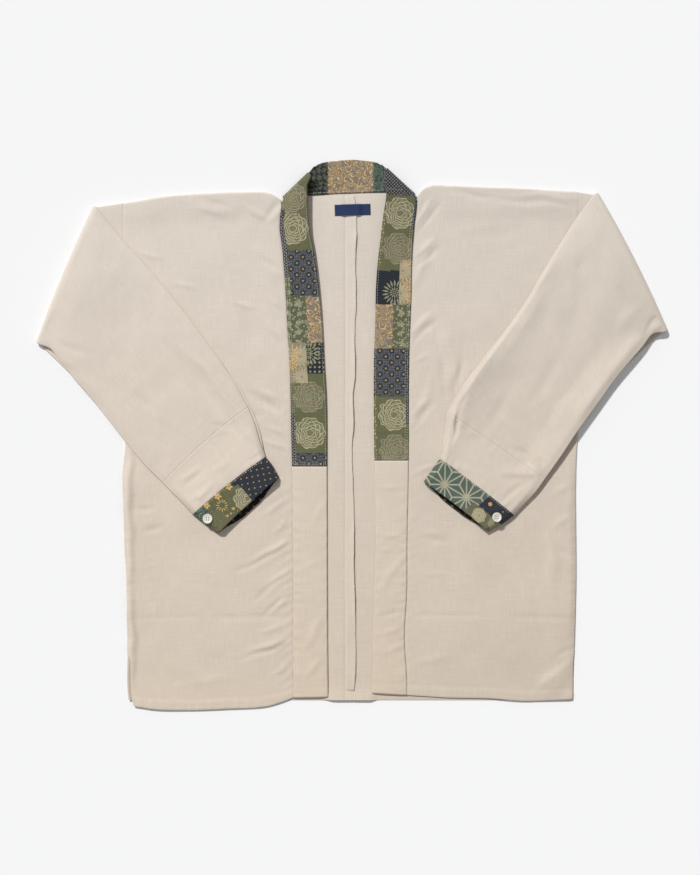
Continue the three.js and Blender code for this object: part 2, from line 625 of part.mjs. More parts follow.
function sleeveParts(half) {
  const data = SLEEVE[half];
  const { armhole, fold } = data;
  const foldLong = Math.hypot(fold.underX - fold.topX, fold.underY - fold.topY);
  const outX = data.outward * (fold.topY - fold.underY) / foldLong;
  const outY = data.outward * (fold.underX - fold.topX) / foldLong;
  const edge = (u) => smooth(u / 0.08) * smooth((1 - u) / 0.08);
  const openLayers = (u, x, y) => ({ under: 0, height: frontTop(x, y) });
  const axisAt = (u) => data.axis.ends + data.axis.middle * 4 * u * (1 - u);
  const foldHeight = (u) => frontTop(
    mix(fold.topX, fold.underX, u), mix(fold.topY, fold.underY, u));
  const chords = [];
  const openSteps = 4;
  for (let i = 0; i < openSteps; i += 1) {
    const t = i / openSteps;
    const sag = Math.sin(Math.PI * t) * 2;
    chords.push(flatChord({
      topX: mix(armhole.topX, fold.topX, t),
      topY: mix(armhole.topY, fold.topY, t),
      underX: mix(armhole.underX, fold.underX, t),
      underY: mix(armhole.underY, fold.underY, t) + sag,
    }, openLayers));
  }
  const bendSteps = 6;
  for (let i = 0; i <= bendSteps; i += 1) {
    const angle = (Math.PI * i) / bendSteps;
    const place = (u, level, inset = 0) => {
      const axis = axisAt(u);
      const arm = axis - (foldHeight(u) * level + inset);
      return new THREE.Vector3(
        mix(fold.topX, fold.underX, u) + outX * arm * Math.sin(angle),
        mix(fold.topY, fold.underY, u) + outY * arm * Math.sin(angle),
        axis - arm * Math.cos(angle));
    };
    chords.push({ ...fold, place });
  }
  const fromFold = (x, y) => Math.abs((x - fold.topX) * outX + (y - fold.topY) * outY);
  const laidLayers = (u, x, y) => {
    const away = fromFold(x, y);
    const raised = 2 * axisAt(u) - foldHeight(u);
    const under = mix(raised, restUnder(x, y), smooth(away / data.drop));
    const full = 2 * CLOTH + TUBE_AIR + edge(u) * (TUBE_PUFF + relief(SLEEVE_FOLDS[half], x, y));
    return { under, height: mix(foldHeight(u), full, smooth(away / TUBE_SETTLE)) };
  };
  const [seam, , mouth] = data.cuff;
  const reach = Math.hypot(mouth.topX - seam.topX + mouth.underX - seam.underX,
    mouth.topY - seam.topY + mouth.underY - seam.underY);
  const alongX = (mouth.topX - seam.topX + mouth.underX - seam.underX) / reach;
  const alongY = (mouth.topY - seam.topY + mouth.underY - seam.underY) / reach;
  const bow = { turned: true, bow: -data.bow, bowX: alongX, bowY: alongY };
  const last = data.laid.length - 1;
  data.laid.forEach((ends, i) => {
    chords.push(flatChord(ends, laidLayers, i === last ? bow : { turned: true }));
  });

  const start = data.forearm[0];
  const forearmLong = Math.hypot(seam.topX - start.topX + seam.underX - start.underX,
    seam.topY - start.topY + seam.underY - start.underY) / 2;
  const cuffUnder = (x, y) => restUnder(x, y) + 0.2;
  const cuffLayers = (u, x, y) => {
    const ends = smooth(u / CUFF_EDGE) * smooth((1 - u) / CUFF_EDGE);
    return { under: cuffUnder(x, y), height: mix(2 * CUFF_WALL + 1.6, CUFF_HEIGHT, ends) };
  };
  const forearmLayers = (u, x, y) => {
    const along = (x - mix(start.topX, start.underX, u)) * alongX
      + (y - mix(start.topY, start.underY, u)) * alongY;
    const t = smooth(along / forearmLong);
    const from = laidLayers(u, x, y);
    const to = cuffLayers(u, x, y);
    return { under: mix(from.under, to.under, t), height: mix(from.height, to.height, t) };
  };
  const forearmEnd = data.forearm.length - 1;
  const forearmChords = data.forearm.map((ends, i) => flatChord(
    ends, forearmLayers, { ...bow, bow: bow.bow * (1 - i / forearmEnd) }));
  const cuffChords = data.cuff.map((ends) => flatChord(ends, cuffLayers, {
    ...bow,
    bow: ends === mouth ? MOUTH_BOW : 0,
    lap: ends === mouth ? data.lap : 0,
  }));
  const buttonSeat = cuffUnder(data.button.x, data.button.y) + CUFF_HEIGHT + SEAM_GAP;
  return {
    sleeve: tube(chords, CLOTH, SLEEVE_STEPS),
    forearm: tube(forearmChords, CLOTH, SLEEVE_STEPS),
    cuff: tube(cuffChords, CUFF_WALL, CUFF_STEPS),
    buttonSeat: buttonSeat + BUTTON_RADIUS * Math.sin(data.button.lean),
  };
}

// A four-hole button with a raised rim
function buttonGeometry(wasm) {
  const profile = [
    new THREE.Vector2(0, 0),
    new THREE.Vector2(BUTTON_RADIUS - 0.8, 0),
    new THREE.Vector2(BUTTON_RADIUS, 0.7),
    new THREE.Vector2(BUTTON_RADIUS, BUTTON_THICK - 0.5),
    new THREE.Vector2(BUTTON_RADIUS - 0.5, BUTTON_THICK),
    new THREE.Vector2(BUTTON_RADIUS - BUTTON_RIM, BUTTON_THICK),
    new THREE.Vector2(BUTTON_RADIUS - BUTTON_RIM - 0.8, BUTTON_THICK - 0.7),
    new THREE.Vector2(0, BUTTON_THICK - 0.9),
  ];
  const disc = new THREE.LatheGeometry(profile, BUTTON_SIDES);
  disc.rotateX(Math.PI / 2);
  let body = toManifold(wasm, disc);
  for (const [sx, sy] of [[1, 1], [1, -1], [-1, 1], [-1, -1]]) {
    const drill = new THREE.CylinderGeometry(BUTTON_HOLE_RADIUS, BUTTON_HOLE_RADIUS, 4 * BUTTON_THICK, 10);
    drill.rotateX(Math.PI / 2);
    drill.translate(sx * BUTTON_HOLE_OFFSET, sy * BUTTON_HOLE_OFFSET, 0);
    body = body.subtract(toManifold(wasm, drill));
  }
  const mesh = body.getMesh();
  const geometry = new THREE.BufferGeometry();
  geometry.setAttribute('position', new THREE.Float32BufferAttribute(mesh.vertProperties, 3));
  geometry.setIndex(new THREE.Uint32BufferAttribute(mesh.triVerts, 1));
  geometry.computeVertexNormals();
  return geometry;
}

// Turns a closed geometry into a solid that can be cut
function toManifold(wasm, geometry) {
  geometry.deleteAttribute('normal');
  geometry.deleteAttribute('uv');
  const merged = mergeVertices(geometry, 1e-4);
  const positions = merged.attributes.position.array;
  const index = merged.index.array;
  const corner = (i) => new THREE.Vector3().fromArray(positions, index[i] * 3);
  let volume = 0;
  for (let i = 0; i < index.length; i += 3) volume += corner(i).dot(corner(i + 1).cross(corner(i + 2)));
  const triangles = new Uint32Array(index);
  if (volume < 0) {
    for (let i = 0; i < triangles.length; i += 3) {
      triangles[i + 1] = index[i + 2];
      triangles[i + 2] = index[i + 1];
    }
  }
  return new wasm.Manifold(new wasm.Mesh({
    numProp: 3, vertProperties: new Float32Array(positions), triVerts: triangles,
  }));
}

// The neck label, laid over the back and across the seam allowance
function neckLabel() {
  const across = 10;
  const down = 2;
  const rows = [];
  for (let r = 0; r <= down; r += 1) {
    const row = [];
    for (let c = 0; c <= across; c += 1) {
      const u = (c / across - 0.5) * LABEL.width;
      const v = (r / down - 0.5) * LABEL.depth;
      const x = LABEL.x + u * Math.cos(LABEL.turn) - v * Math.sin(LABEL.turn);
      const y = LABEL.y + u * Math.sin(LABEL.turn) + v * Math.cos(LABEL.turn);
      const over = smooth((x - CENTRE_SEAM_X + 6) / 6) * (1 - smooth((x - 7) / 6));
      row.push({ x, y, z: CLOTH + SEAM_GAP + over * (CLOTH + SEAM_GAP + 0.9) });
    }
    rows.push(row);
  }
  return strip(rows, LABEL.thick);
}

const wasm = await Module();
wasm.setup();

const jacket = new THREE.Group();

function add(name, geometry, finish) {
  const mesh = new THREE.Mesh(geometry, new THREE.MeshStandardMaterial(COLOURS[finish]));
  mesh.name = name;
  jacket.add(mesh);
  return mesh;
}

for (const half of ['right', 'left']) {
  add(`body_${half}`, bodyHalf(half), 'cloth');
  add(`front_band_${half}`, frontBand(half), 'band');
  const { sleeve, forearm, cuff, buttonSeat } = sleeveParts(half);
  add(`sleeve_${half}`, sleeve, 'cloth');
  add(`forearm_${half}`, forearm, 'cloth');
  add(`cuff_${half}`, cuff, 'cuff');
  const button = add(`cuff_button_${half}`, buttonGeometry(wasm), 'button');
  button.position.set(SLEEVE[half].button.x, SLEEVE[half].button.y, buttonSeat);
  button.rotation.y = SLEEVE[half].button.lean;
}
add('collar', collar(), 'pattern');
add('centre_back_seam_allowance', seamAllowance(), 'cloth');
add('neck_label', neckLabel(), 'label');

jacket.position.set(CENTRE_SHIFT.x, CENTRE_SHIFT.y, 0);

export default jacket;
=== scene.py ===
"""A noragi jacket laid flat on its back on a pale surface, its sleeves folded over the fronts.

Left and right are the wearer's, so the right half lies at negative X. Tables hold millimetres
and MM turns them into metres.
"""

import math

import bmesh
import bpy
import numpy as np
from mathutils import Matrix, Vector
from mathutils.bvhtree import BVHTree


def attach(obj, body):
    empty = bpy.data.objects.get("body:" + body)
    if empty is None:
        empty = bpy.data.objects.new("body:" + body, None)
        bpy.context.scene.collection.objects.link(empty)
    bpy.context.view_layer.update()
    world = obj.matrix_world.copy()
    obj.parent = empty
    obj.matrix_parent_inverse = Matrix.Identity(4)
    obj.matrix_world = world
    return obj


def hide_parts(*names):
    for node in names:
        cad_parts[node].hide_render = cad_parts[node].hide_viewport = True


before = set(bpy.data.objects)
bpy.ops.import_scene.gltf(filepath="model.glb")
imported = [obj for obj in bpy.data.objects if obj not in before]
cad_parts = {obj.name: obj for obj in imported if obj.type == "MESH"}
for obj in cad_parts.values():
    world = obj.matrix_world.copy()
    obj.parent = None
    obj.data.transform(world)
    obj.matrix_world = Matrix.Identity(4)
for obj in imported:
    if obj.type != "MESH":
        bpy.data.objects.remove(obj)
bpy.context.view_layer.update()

MM = 0.001

# Cloth and layers
CLOTH = 0.8                # thickness of one layer as it is seen
DOUBLED = 2.2              # bands and collar, sewn double
CUFF_CLOTH = 1.8           # cuffs, sewn double and pressed
WALL = 1.2                 # height that one layer takes in the stack
FRONT_REST = 2.7           # top face of a front where it lies on the back
LAYER_CLEAR = 1.0          # air between a folded sleeve and the front under it
SHIFT = (1.2, 0.7, 0.0)    # moves the whole garment over the middle of its box

# Body
CENTRE_SEAM_X = -11        # where the two halves are joined down the back
BACK_HEM_Y = -350
UNDERARM_Y = 8             # lower end of the armhole
VENT_TOP_Y = -287          # the side seams are open below this
SHOULDER_PUFF = 3.0        # how much higher the fold over the shoulder stands
SHOULDER_FADE = 45         # and how far down the front it fades
SIDE_ROLL = 2.6            # soft roll beside the side seam: its height,
SIDE_ROLL_IN = 7           # how far in it is highest
SIDE_ROLL_FADE = 55        # and how far in it ends
VENT_STEP = {"right": 4.5, "left": 1.0}   # how far the front steps in at the vent
HEM_DEEP = 13              # depth of the turned-up hems
HEM_STEP = 0.5             # how much thicker the hem is
BACK_HEM_LIFT = 4.0        # how far the back hem stands off the floor between the bands
SHOULDER_TOP_Y = 330       # from here up the side and seam tables stay constant
CREASE_GAIN = 1.25         # how strongly the finer creases show
# Gathers beside the collar seam: their slant, their height, and how much higher they get low down
COLLAR_GATHER = {"right": (0.6, 0.2, 0.18), "left": (-0.4, 0.16, 0.0)}

# Collar, cuff, label and buttons
COLLAR_REST = 1.6          # under face of the collar and bands
CORNER_LIFT = 2.4          # how far the neck part's corners stand off the floor under the mitres
COLLAR_END_Y = {"right": -42, "left": -34.2}   # where the plain bands begin
STRIP_WIDE = 47
CUFF_HEIGHT = 9.8          # how high an open cuff stands
CUFF_LAYER = 2             # height that one layer of a cuff takes in the stack
LAP_FADE = 0.4             # share of a cuff over which its under layer's lap fades
CUFF_EDGE = 0.06           # share of a cuff's width over which its edges round off
MOUTH_BOW = -1.5           # how far the cuff's mouth curves inwards
SLEEVE_ROLL, CUFF_ROLL = 3.0, 5.6   # height of the rolled edges of a flattened sleeve and cuff
ALLOWANCE_WIDE = 14        # seam allowance beside the centre-back seam
LABEL = {"x": -0.3, "y": 296.5, "wide": 47, "deep": 14.5, "turn": 0.03, "thick": 0.7}
LABEL_REST = 1.0           # air and cloth between the back and the label's top face
LABEL_STEP = 2.3           # how much higher it lies over the seam allowance

# Stitches
STITCH_LONG, STITCH_GAP, STITCH_WIDE = 2.4, 1.0, 0.65
STITCH_FLAT = 0.7          # height of a stitch as a share of its width
STITCH_LIFT = 0.05         # how far the middle of a stitch stands above the cloth
STITCH_DROP_FROM = 50      # height from which stitches are dropped on to the cloth
LINE_STEP = 4.0            # spacing of the points of a sewing line
ARMHOLE_LOW_Y = 200.0      # below it the sleeve hides the armhole seam
# How far rows of stitches lie from an edge or a seam
BAND_INSETS = (2.5, 2.0)   # from the collar seam and from the free edge
COLLAR_INSETS = (1.9, 4.7)
COLLAR_FREE_INSET = 2.0
CUFF_INSET = 1.7
JOIN_INSET = 2.6
ARMHOLE_INSET = 3.4
NECK_INSET = 3.0
ALLOWANCE_INSET = 3.0

# Floor, light and camera, in metres and degrees
FLOOR_REACH = 40.0
FLOOR_DROP = 0.0002        # how far the floor lies under the cloth
LAMP_WAY = (0.51, -0.86)   # the light falls towards the lower right
LAMP_HIGH = 47             # from this high above the floor
LAMP_WIDE = 5              # and its shadows' edges are this soft
LAMP_POWER = 2.9
SKY_POWER = 0.36
CAMERA_OVER = (-0.0025, -0.0031, 2.6)
PICTURE_WIDE = 0.924       # floor that the picture shows
SENSOR_WIDE = 36.0         # mm

# Outlines: (y, x) for the side and the collar seam, (x, y) for the shoulder and the hem
SIDE = {
    "right": [(-362, -292), (-350, -295.5), (-287, -297.3), (-189, -298.6), (-152, -301),
              (-103, -302.1), (-55, -303.9), (-12, -300), (8, -302.7), (330, -302.7)],
    "left": [(-362, 290), (-350, 290.7), (-287, 291.5), (-181, 294.2), (-90, 293.6),
             (-20, 294.9), (8, 297.3), (330, 297.3)],
}
SEAM = {
    "right": [(-362, -79), (-330, -78.7), (-42, -80), (2, -81.2), (52, -82.1), (103, -83.8),
              (138, -86.1), (190, -88.8), (244, -92.9), (275, -96.5), (300, -94.6), (330, -94.4)],
    "left": [(-362, 71.5), (-323, 71), (-266, 68), (-208, 71), (-139, 71.5), (-34, 73.5),
             (52, 73.7), (103, 74.2), (154, 75.9), (190, 77.2), (232, 77.9), (272, 80.5),
             (311, 84.9), (330, 84.9)],
}
SHOULDER = {
    "right": [(-338.3, 303), (-300, 305.7), (-246, 314.2), (-209, 317.2), (-145, 319.6),
              (-106, 317), (-94.4, 309)],
    "left": [(84.9, 313.5), (92.4, 323.5), (128, 328.2), (168, 326.4), (230, 324.2),
             (292, 320.5), (319, 321)],
}
HEM = {
    "right": [(-303, -356.5), (-292, -358.3), (-266, -361.9), (-220, -363.1), (-167, -361.3),
              (-115, -358.2), (-93, -352.2), (-79.7, -347)],
    "left": [(71.5, -343.3), (125, -346.6), (180, -347.7), (230, -351), (289, -349),
             (300, -349)],
}
NECKLINE = [(-94, 309), (-74, 314), (-60, 315), (-30, 317), (3, 318.4), (45, 319.6),
            (66, 318.5), (85, 313)]
FREE_EDGE = {
    "right": [(-347, -32.7), (-290, -33.4), (-42, -34.1), (2, -34.1), (52, -35.1), (103, -38.3),
              (138, -40.1), (190, -44.6), (244, -52), (271, -57.2), (316, -60.2), (350, -60.5)],
    "left": [(-342, 25.3), (-266, 26.3), (-125, 29.8), (-34, 28.6), (2, 28.2), (52, 27.9),
             (103, 28.2), (145, 29.8), (190, 30.6), (225, 32.9), (254, 36.4), (290, 40.7),
             (318, 44.4), (347, 40), (360, 34)],
}
BAND_HEM = {"right": (-347, -346.3), "left": (-343.5, -341)}
# Mitre fold lines: seam x and y, free x and y, and the axis height at each
MITRE = {
    "right": (-90.8, 310.8, -54, 338.5, 3.6, 8.6),
    "left": (80.4, 314.6, 41, 345.5, 3.6, 7.2),
}
# Collar strips below the mitre: seam y, free y, lift at the seam, lift at the free edge. The first
# row is at the mitre.
COLLAR_ROWS = {
    "right": [(303, 328, 2.6, 13.2), (289, 309, 2.2, 11.6), (268, 282, 1.6, 9),
              (244, 252, 1.2, 6.6), (216, 220, 0.9, 4.6), (186, 188, 0.6, 3), (150, 151, 0.4, 1.8),
              (110, 110, 0.2, 1), (60, 60, 0.1, 0.5), (8, 8, 0, 0.2), (-42, -42, 0, 0)],
    "left": [(309, 338, 2.6, 12.4), (296, 320, 2.2, 10.8), (274, 290, 1.6, 8.2),
             (248, 258, 1.2, 6), (218, 223, 0.9, 4.2), (186, 188, 0.6, 2.8), (150, 151, 0.4, 1.7),
             (110, 110, 0.2, 1), (60, 60, 0.1, 0.5), (12, 12, 0, 0.2), (-34.2, -34.2, 0, 0)],
}
NECK_TOP = [(-54, 338.5), (-53, 349), (-49.5, 354), (-44, 357), (-34, 359.5), (-20, 361),
            (0, 362.5), (16, 361), (28, 359.5), (37, 356), (40.3, 352.5), (41, 345.5)]
ALLOWANCE_EDGE = [(315, 2.1), (287, 4.9), (268, 4.8), (230, 3.2), (178, 4.2), (125, 2.1),
                  (85, 2.9), (46, -0.4), (19, 0.8), (-20, -1.3), (-73, 0.3), (-112, 1.6),
                  (-165, 1.1), (-218, 2.6), (-284, 3.8), (-324, 2.6), (-337, 1.6)]

# Sleeves. Chords are given as top x and y, underarm x and y: "laid", "forearm" and "cuff" list them
# down the arm. "axis" is the fold's height at its ends and how much more in its middle, "outward"
# its side, "drop" the length over which the raised under layer comes down. "bow" and "cuff_bow" are
# how far the join seam and the cuff seam curve, "lap" how far the cuff's under layer shows.
SLEEVE = {
    "right": {
        "armhole": (-302.72, 305.2, -302.72, 8),
        "fold": (-337.5, 300, -413, 119),
        "axis": (4.6, 2.2), "outward": -1, "drop": 115, "bow": 4, "cuff_bow": 2.2,
        "laid": [(-331, 291, -398, 113), (-318, 275, -386, 98), (-300, 253, -368, 75),
                 (-276, 227, -349, 53), (-250, 197, -331, 31), (-222, 162, -311, 5),
                 (-196, 127, -291, -20), (-172, 94, -273, -41), (-152, 65, -259, -55),
                 (-136.3, 37.5, -250.8, -63.3)],
        "forearm": [(-136.3, 37.5, -250.8, -63.3), (-127, 15, -241, -73.5),
                    (-120.5, -8, -228, -86.5), (-114.9, -29.4, -210.7, -105.3)],
        "cuff": [(-114.9, -29.4, -210.7, -105.3), (-106, -40, -196, -117),
                 (-96.8, -56.5, -177.5, -130.5)],
        "lap": 8,
    },
    "left": {
        "armhole": (297.32, 319.6, 297.32, 8),
        "fold": (318, 316.5, 410, 135),
        "axis": (5.6, 3.0), "outward": 1, "drop": 120, "bow": 0, "cuff_bow": 0.8,
        "laid": [(315, 313, 394, 132), (305, 300, 381, 116), (291, 280, 363, 95),
                 (271, 249, 344, 72), (250, 214, 326, 47), (226, 173, 308, 22),
                 (198, 134, 291, -2), (170, 99, 276, -25), (145, 64, 262, -45),
                 (124.5, 29.5, 252.5, -58.4)],
        "forearm": [(124.5, 29.5, 252.5, -58.4), (122.5, 9, 241, -75), (119, -11, 227, -90.5),
                    (114.8, -31.4, 212.5, -106)],
        "cuff": [(114.8, -31.4, 212.5, -106), (105, -45, 197, -117.5), (93.2, -62, 178.5, -127.8)],
        "lap": 5,
    },
}

# Main folds, as x1, y1, x2, y2, width, height
FRONT_FOLDS = {
    "right": [(-136, -176, -84, -143, 13, 0.8), (-114, -207, -82, -180, 11, 0.7),
              (-112, -230, -82, -202, 11, 0.6), (-137, -290, -84, -270, 13, 0.7),
              (-126, -92, -84, -66, 12, 0.7), (-198, 304, -150, 292, 16, 0.8),
              (-130, 250, -100, 205, 14, 0.8), (-120, 170, -92, 130, 13, 0.7),
              (-250, -300, -180, -330, 18, 0.7), (-230, 60, -150, -60, 40, 1.2),
              (-288, -242, -200, -241, 5, -0.4), (-180, -241.5, -86, -240, 6, -0.6)],
    "left": [(124, 296, 282, 304, 20, 0.8), (84, 272, 106, 300, 13, 0.8),
             (82, 238, 112, 256, 13, 0.7), (80, 196, 100, 236, 13, 0.7),
             (78, 134, 106, 156, 12, 0.7), (118, 134, 126, 62, 17, 1.2), (76, 8, 104, 38, 12, 0.8),
             (288, -292, 242, -332, 15, 0.8), (150, -60, 170, -190, 40, 1.2),
             (80, -238, 176, -239, 5, -0.5), (214, -240, 288, -242, 6, -0.6),
             (95, -258, 288, -262, 80, 2.4)],
}
SLEEVE_FOLDS = {
    "right": [(-286, 244, -170, 108, 24, 1.2), (-178, 44, -124, -22, 16, 1.2),
              (-350, 70, -262, -26, 22, 1.2), (-292, 150, -214, 44, 32, 1.0)],
    "left": [(300, 250, 268, 150, 24, 1.2), (384, 128, 300, 24, 20, 2.6),
             (344, 214, 296, 96, 30, 1.4), (190, -50, 246, -46, 13, 1.2)],
}
# Finer creases that only show from close by, in the same form. Troughs are negative.
FRONT_CREASES = {
    "right": [(-146, 60, -84, 30, 9, -1.7), (-136, 66, -86, 46, 7, 1.0),
              (-126, -4, -82, -18, 6, 1.1), (-124, 15, -82, 2, 6, 0.7),
              (-210, 311, -156, 296, 8, -1.0), (-214, 300, -160, 286, 7, 0.8),
              (-150, 306, -106, 283, 7, 1.1), (-122, 280, -86, 318, 7, -1.3),
              (-114, 276, -88, 306, 6, 0.9), (-292, 242, -246, 235, 6, 0.8),
              (-248, 204, -200, 190, 6, 0.7), (-170, 177, -120, 167, 6, 0.8),
              (-160, 196, -112, 98, 13, -1.2), (-128, 163, -86, 120, 7, 0.9),
              (-130, 240, -90, 216, 7, -0.9), (-116, 188, -86, 166, 6, 0.7),
              (-296, 20, -295, -190, 10, 3.0), (-296, -120, -293, -300, 10, 2.6),
              (-294, -220, -291, -352, 10, 2.4), (-168, -190, -80, -138, 6, -1.3),
              (-150, -176, -82, -134, 6, 1.1), (-140, -226, -80, -176, 6, -1.1),
              (-118, -206, -81, -172, 5, 1.0), (-128, -246, -80, -204, 5, -1.0),
              (-110, -236, -80, -210, 5, 0.9), (-160, -300, -80, -270, 6, -1.2),
              (-144, -288, -82, -264, 6, 1.0), (-130, -82, -80, -52, 6, 1.2),
              (-122, -108, -80, -80, 5, 1.0), (-112, -132, -78, -104, 5, 1.0),
              (-116, -160, -79, -128, 5, 0.9), (-290, -100, -254, -94, 7, -0.8),
              (-288, -132, -246, -115, 7, -0.9), (-162, 16, -108, 31, 8, -0.8),
              (-254, -334, -140, -320, 8, 0.4), (-138, -262, -80, -246, 6, 0.8),
              (-236, 144, -186, 96, 16, 0.8), (-214, -196, -146, -244, 18, 0.7),
              (-112, -318, -80, -300, 6, 0.7), (-290, -170, -262, -240, 9, -0.7)],
    "left": [(110, 322, 200, 312, 6, -0.9), (160, 312, 304, 300, 7, -0.9),
             (190, 318, 320, 308, 6, 0.6), (78, 268, 110, 316, 6, 1.0),
             (84, 258, 122, 312, 6, -1.1), (76, 230, 116, 260, 6, 1.0),
             (76, 214, 120, 250, 6, -1.0), (76, 190, 104, 250, 7, 0.7),
             (74, 128, 112, 164, 6, 1.0), (74, 116, 120, 156, 6, -1.0), (74, 96, 100, 104, 5, 0.7),
             (74, 0, 114, 46, 8, -1.5), (74, 16, 108, 54, 7, 1.0), (107, 160, 126, 24, 9, -1.7),
             (124, 148, 140, 40, 8, 1.2), (152, 144, 126, 20, 8, -1.2),
             (72, -54, 110, -42, 6, 0.7), (78, -136, 132, -145, 6, -0.7),
             (80, -128, 120, -133, 5, 0.5), (220, -180, 246, -262, 11, 0.7),
             (304, -284, 232, -350, 8, 0.7), (300, -296, 244, -352, 20, 2.4),
             (300, -272, 262, -300, 6, -0.6), (256, -110, 268, -232, 13, 1.3),
             (140, 262, 240, 272, 15, -0.5), (80, -190, 134, -182, 6, 0.4),
             (294, -104, 258, -128, 7, 0.9), (294, -166, 260, -147, 7, -0.8),
             (74, -302, 134, -294, 8, 0.5), (152, 206, 212, 114, 24, 0.8),
             (118, -176, 184, -224, 22, 0.8), (290, -60, 262, -86, 7, 0.7),
             (200, -60, 214, -150, 16, -0.8), (106, 92, 92, 20, 8, 0.8)],
}
SLEEVE_CREASES = {
    "right": [(-262, 140, -130, -24, 15, -2.8), (-240, 134, -118, -6, 9, 1.4),
              (-320, 122, -288, 70, 12, -0.7), (-190, 15, -150, 2, 6, -0.9),
              (-402, 131, -340, 98, 8, -0.9), (-404, 118, -360, 84, 7, 0.8),
              (-236, -60, -196, -44, 7, 0.6), (-206, -98, -178, -58, 7, 0.8),
              (-186, -84, -146, -62, 6, -0.8), (-220, -88, -184, -78, 6, 0.7),
              (-154, -60, -126, -26, 6, 0.7), (-228, -70, -196, -50, 7, -0.6),
              (-190, -52, -156, -34, 8, 0.5), (-212, -78, -180, -106, 6, -0.6),
              (-142, -34, -118, -20, 5, -0.6), (-334, 176, -300, 232, 18, 0.6),
              (-278, 72, -230, 6, 13, 0.7), (-304, 62, -246, 28, 12, -0.7),
              (-150, 20, -128, -14, 6, 0.9), (-330, 20, -286, -18, 8, 0.8)],
    "left": [(266, 222, 172, 88, 17, -2.6), (250, 216, 160, 88, 12, -0.9),
             (304, 274, 298, 196, 14, -0.9), (154, 66, 126, 8, 8, -2.4),
             (136, 46, 124, -22, 6, -3.2), (149, 46, 126, -22, 6, -3.0),
             (142, 42, 126, -14, 5, 1.6), (186, -50, 250, -54, 7, 0.9),
             (228, -4, 246, -56, 8, 1.3), (216, -10, 238, -54, 6, -1.0),
             (190, -92, 234, -58, 8, -1.0), (174, -106, 216, -82, 6, 0.9),
             (386, 178, 342, 130, 14, 0.9), (380, 128, 414, 164, 5, -1.4),
             (376, 120, 420, 148, 5, 1.4), (308, 70, 252, -8, 14, 0.9),
             (274, 110, 232, 28, 15, -0.9), (118, -36, 162, -53, 6, 0.7),
             (324, 246, 360, 184, 15, 0.6), (214, 70, 176, 2, 13, -0.8),
             (342, 112, 298, 58, 16, 0.8), (236, -30, 200, -14, 7, -0.8)],
}
BAND_CREASES = {
    "right": [(-72, -294, -36, -234, 10, 1.2), (-66, -326, -36, -290, 8, 1.1),
              (-78, -184, -40, -166, 7, 0.5), (-56, -128, -34, -86, 8, 0.6)],
    "left": [(26, -132, 74, -129, 6, 0.8), (26, -152, 54, -148, 6, 0.7),
             (30, -220, 70, -148, 9, 0.8), (24, -237, 76, -233, 5, -0.9),
             (26, -260, 70, -254, 7, 0.8), (28, -288, 74, -274, 8, 0.7),
             (26, -65, 68, -71, 6, 0.6)],
}
BACK_CREASES = [(-36, -300, -14, -352, 8, 0.9), (2, -316, 12, -354, 6, 0.8),
                (-34, 196, -16, 116, 9, 0.7), (8, 60, 30, 40, 7, 0.6), (6, -20, 28, -48, 7, 0.6),
                (8, 240, 30, 214, 7, 0.6), (-36, -60, -14, -76, 7, 0.5)]
# How high the rolled top edge of each laid sleeve stands, as (y, height)
EDGE_ROLL = {
    "right": [(-60, 0.3), (40, 1.0), (160, 0.6), (300, 0.4)],
    "left": [(-45, 0.8), (-20, 3.6), (20, 7.4), (70, 9.4), (130, 8.4), (180, 6.2), (230, 3.6),
             (270, 1.4), (310, 0.3)],
}
# How far the underarm edge of each laid sleeve stands off what is under it, as (y, height).
# The right one lies flat.
UNDERARM_STAND = {
    "right": [(-106, 0), (132, 0)],
    "left": [(-106, 3.0), (-60, 5.4), (0, 6.4), (60, 6.0), (105, 3.6), (135, 0)],
}
# How far the underarm edge of the part between armhole and fold curves in
UNDERARM_CURVE = {"right": 1.0, "left": 7.0}
# How far the under layer shows beyond the upper one beside the forearm
UNDER_LAYER = {"right": 3.6, "left": 2.6}


def smooth(value):
    """Eases from 0 to 1, and stays there outside."""
    t = np.clip(value, 0.0, 1.0)
    return t * t * (3 - 2 * t)


def mix(a, b, t):
    """Goes from a to b as t goes from 0 to 1."""
    return a + (b - a) * t


def curve(rows, at):
    """Reads a table of (at, value) rows along a smooth curve through them."""
    xs, ys = np.array(sorted(rows), dtype=float).T
    at = np.clip(at, xs[0], xs[-1])
    slope = np.diff(ys) / np.diff(xs)
    inner = (slope[:-1] + slope[1:]) / 2 * (slope[:-1] * slope[1:] > 0)
    tangent = np.concatenate([slope[:1], inner, slope[-1:]])
    i = np.clip(np.searchsorted(xs, at) - 1, 0, len(xs) - 2)
    step = xs[i + 1] - xs[i]
    t = (at - xs[i]) / step
    rise = (ys[i + 1] - ys[i]) * (3 - 2 * t) * t * t
    bend = step * t * (1 - t) * (tangent[i] * (1 - t) - tangent[i + 1] * t)
    return ys[i] + rise + bend


def along_rows(rows, at):
    """Reads each column of a table at a fractional row number."""
    count = len(rows)
    return [curve([(i, rows[i][k]) for i in range(count)], at) for k in range(len(rows[0]))]


def beside(line, x, y):
    """How far points lie along a line, as a share of it, and how far beside it in mm."""
    x1, y1, x2, y2 = line
    dx, dy = x2 - x1, y2 - y1
    long = math.hypot(dx, dy)
    along = ((x - x1) * dx + (y - y1) * dy) / long ** 2
    side = np.abs((x - x1) * dy - (y - y1) * dx) / long
    return along, side


def relief(folds, x, y):
    """Height of all the soft folds of a table."""
    height = 0.0 * x
    for *line, width, rise in folds:
        along, side = beside(line, x, y)
        ends = smooth((along + 0.12) / 0.3) * smooth((1.12 - along) / 0.3)
        height = height + rise * ends * (1 - smooth(side / width))
    return height


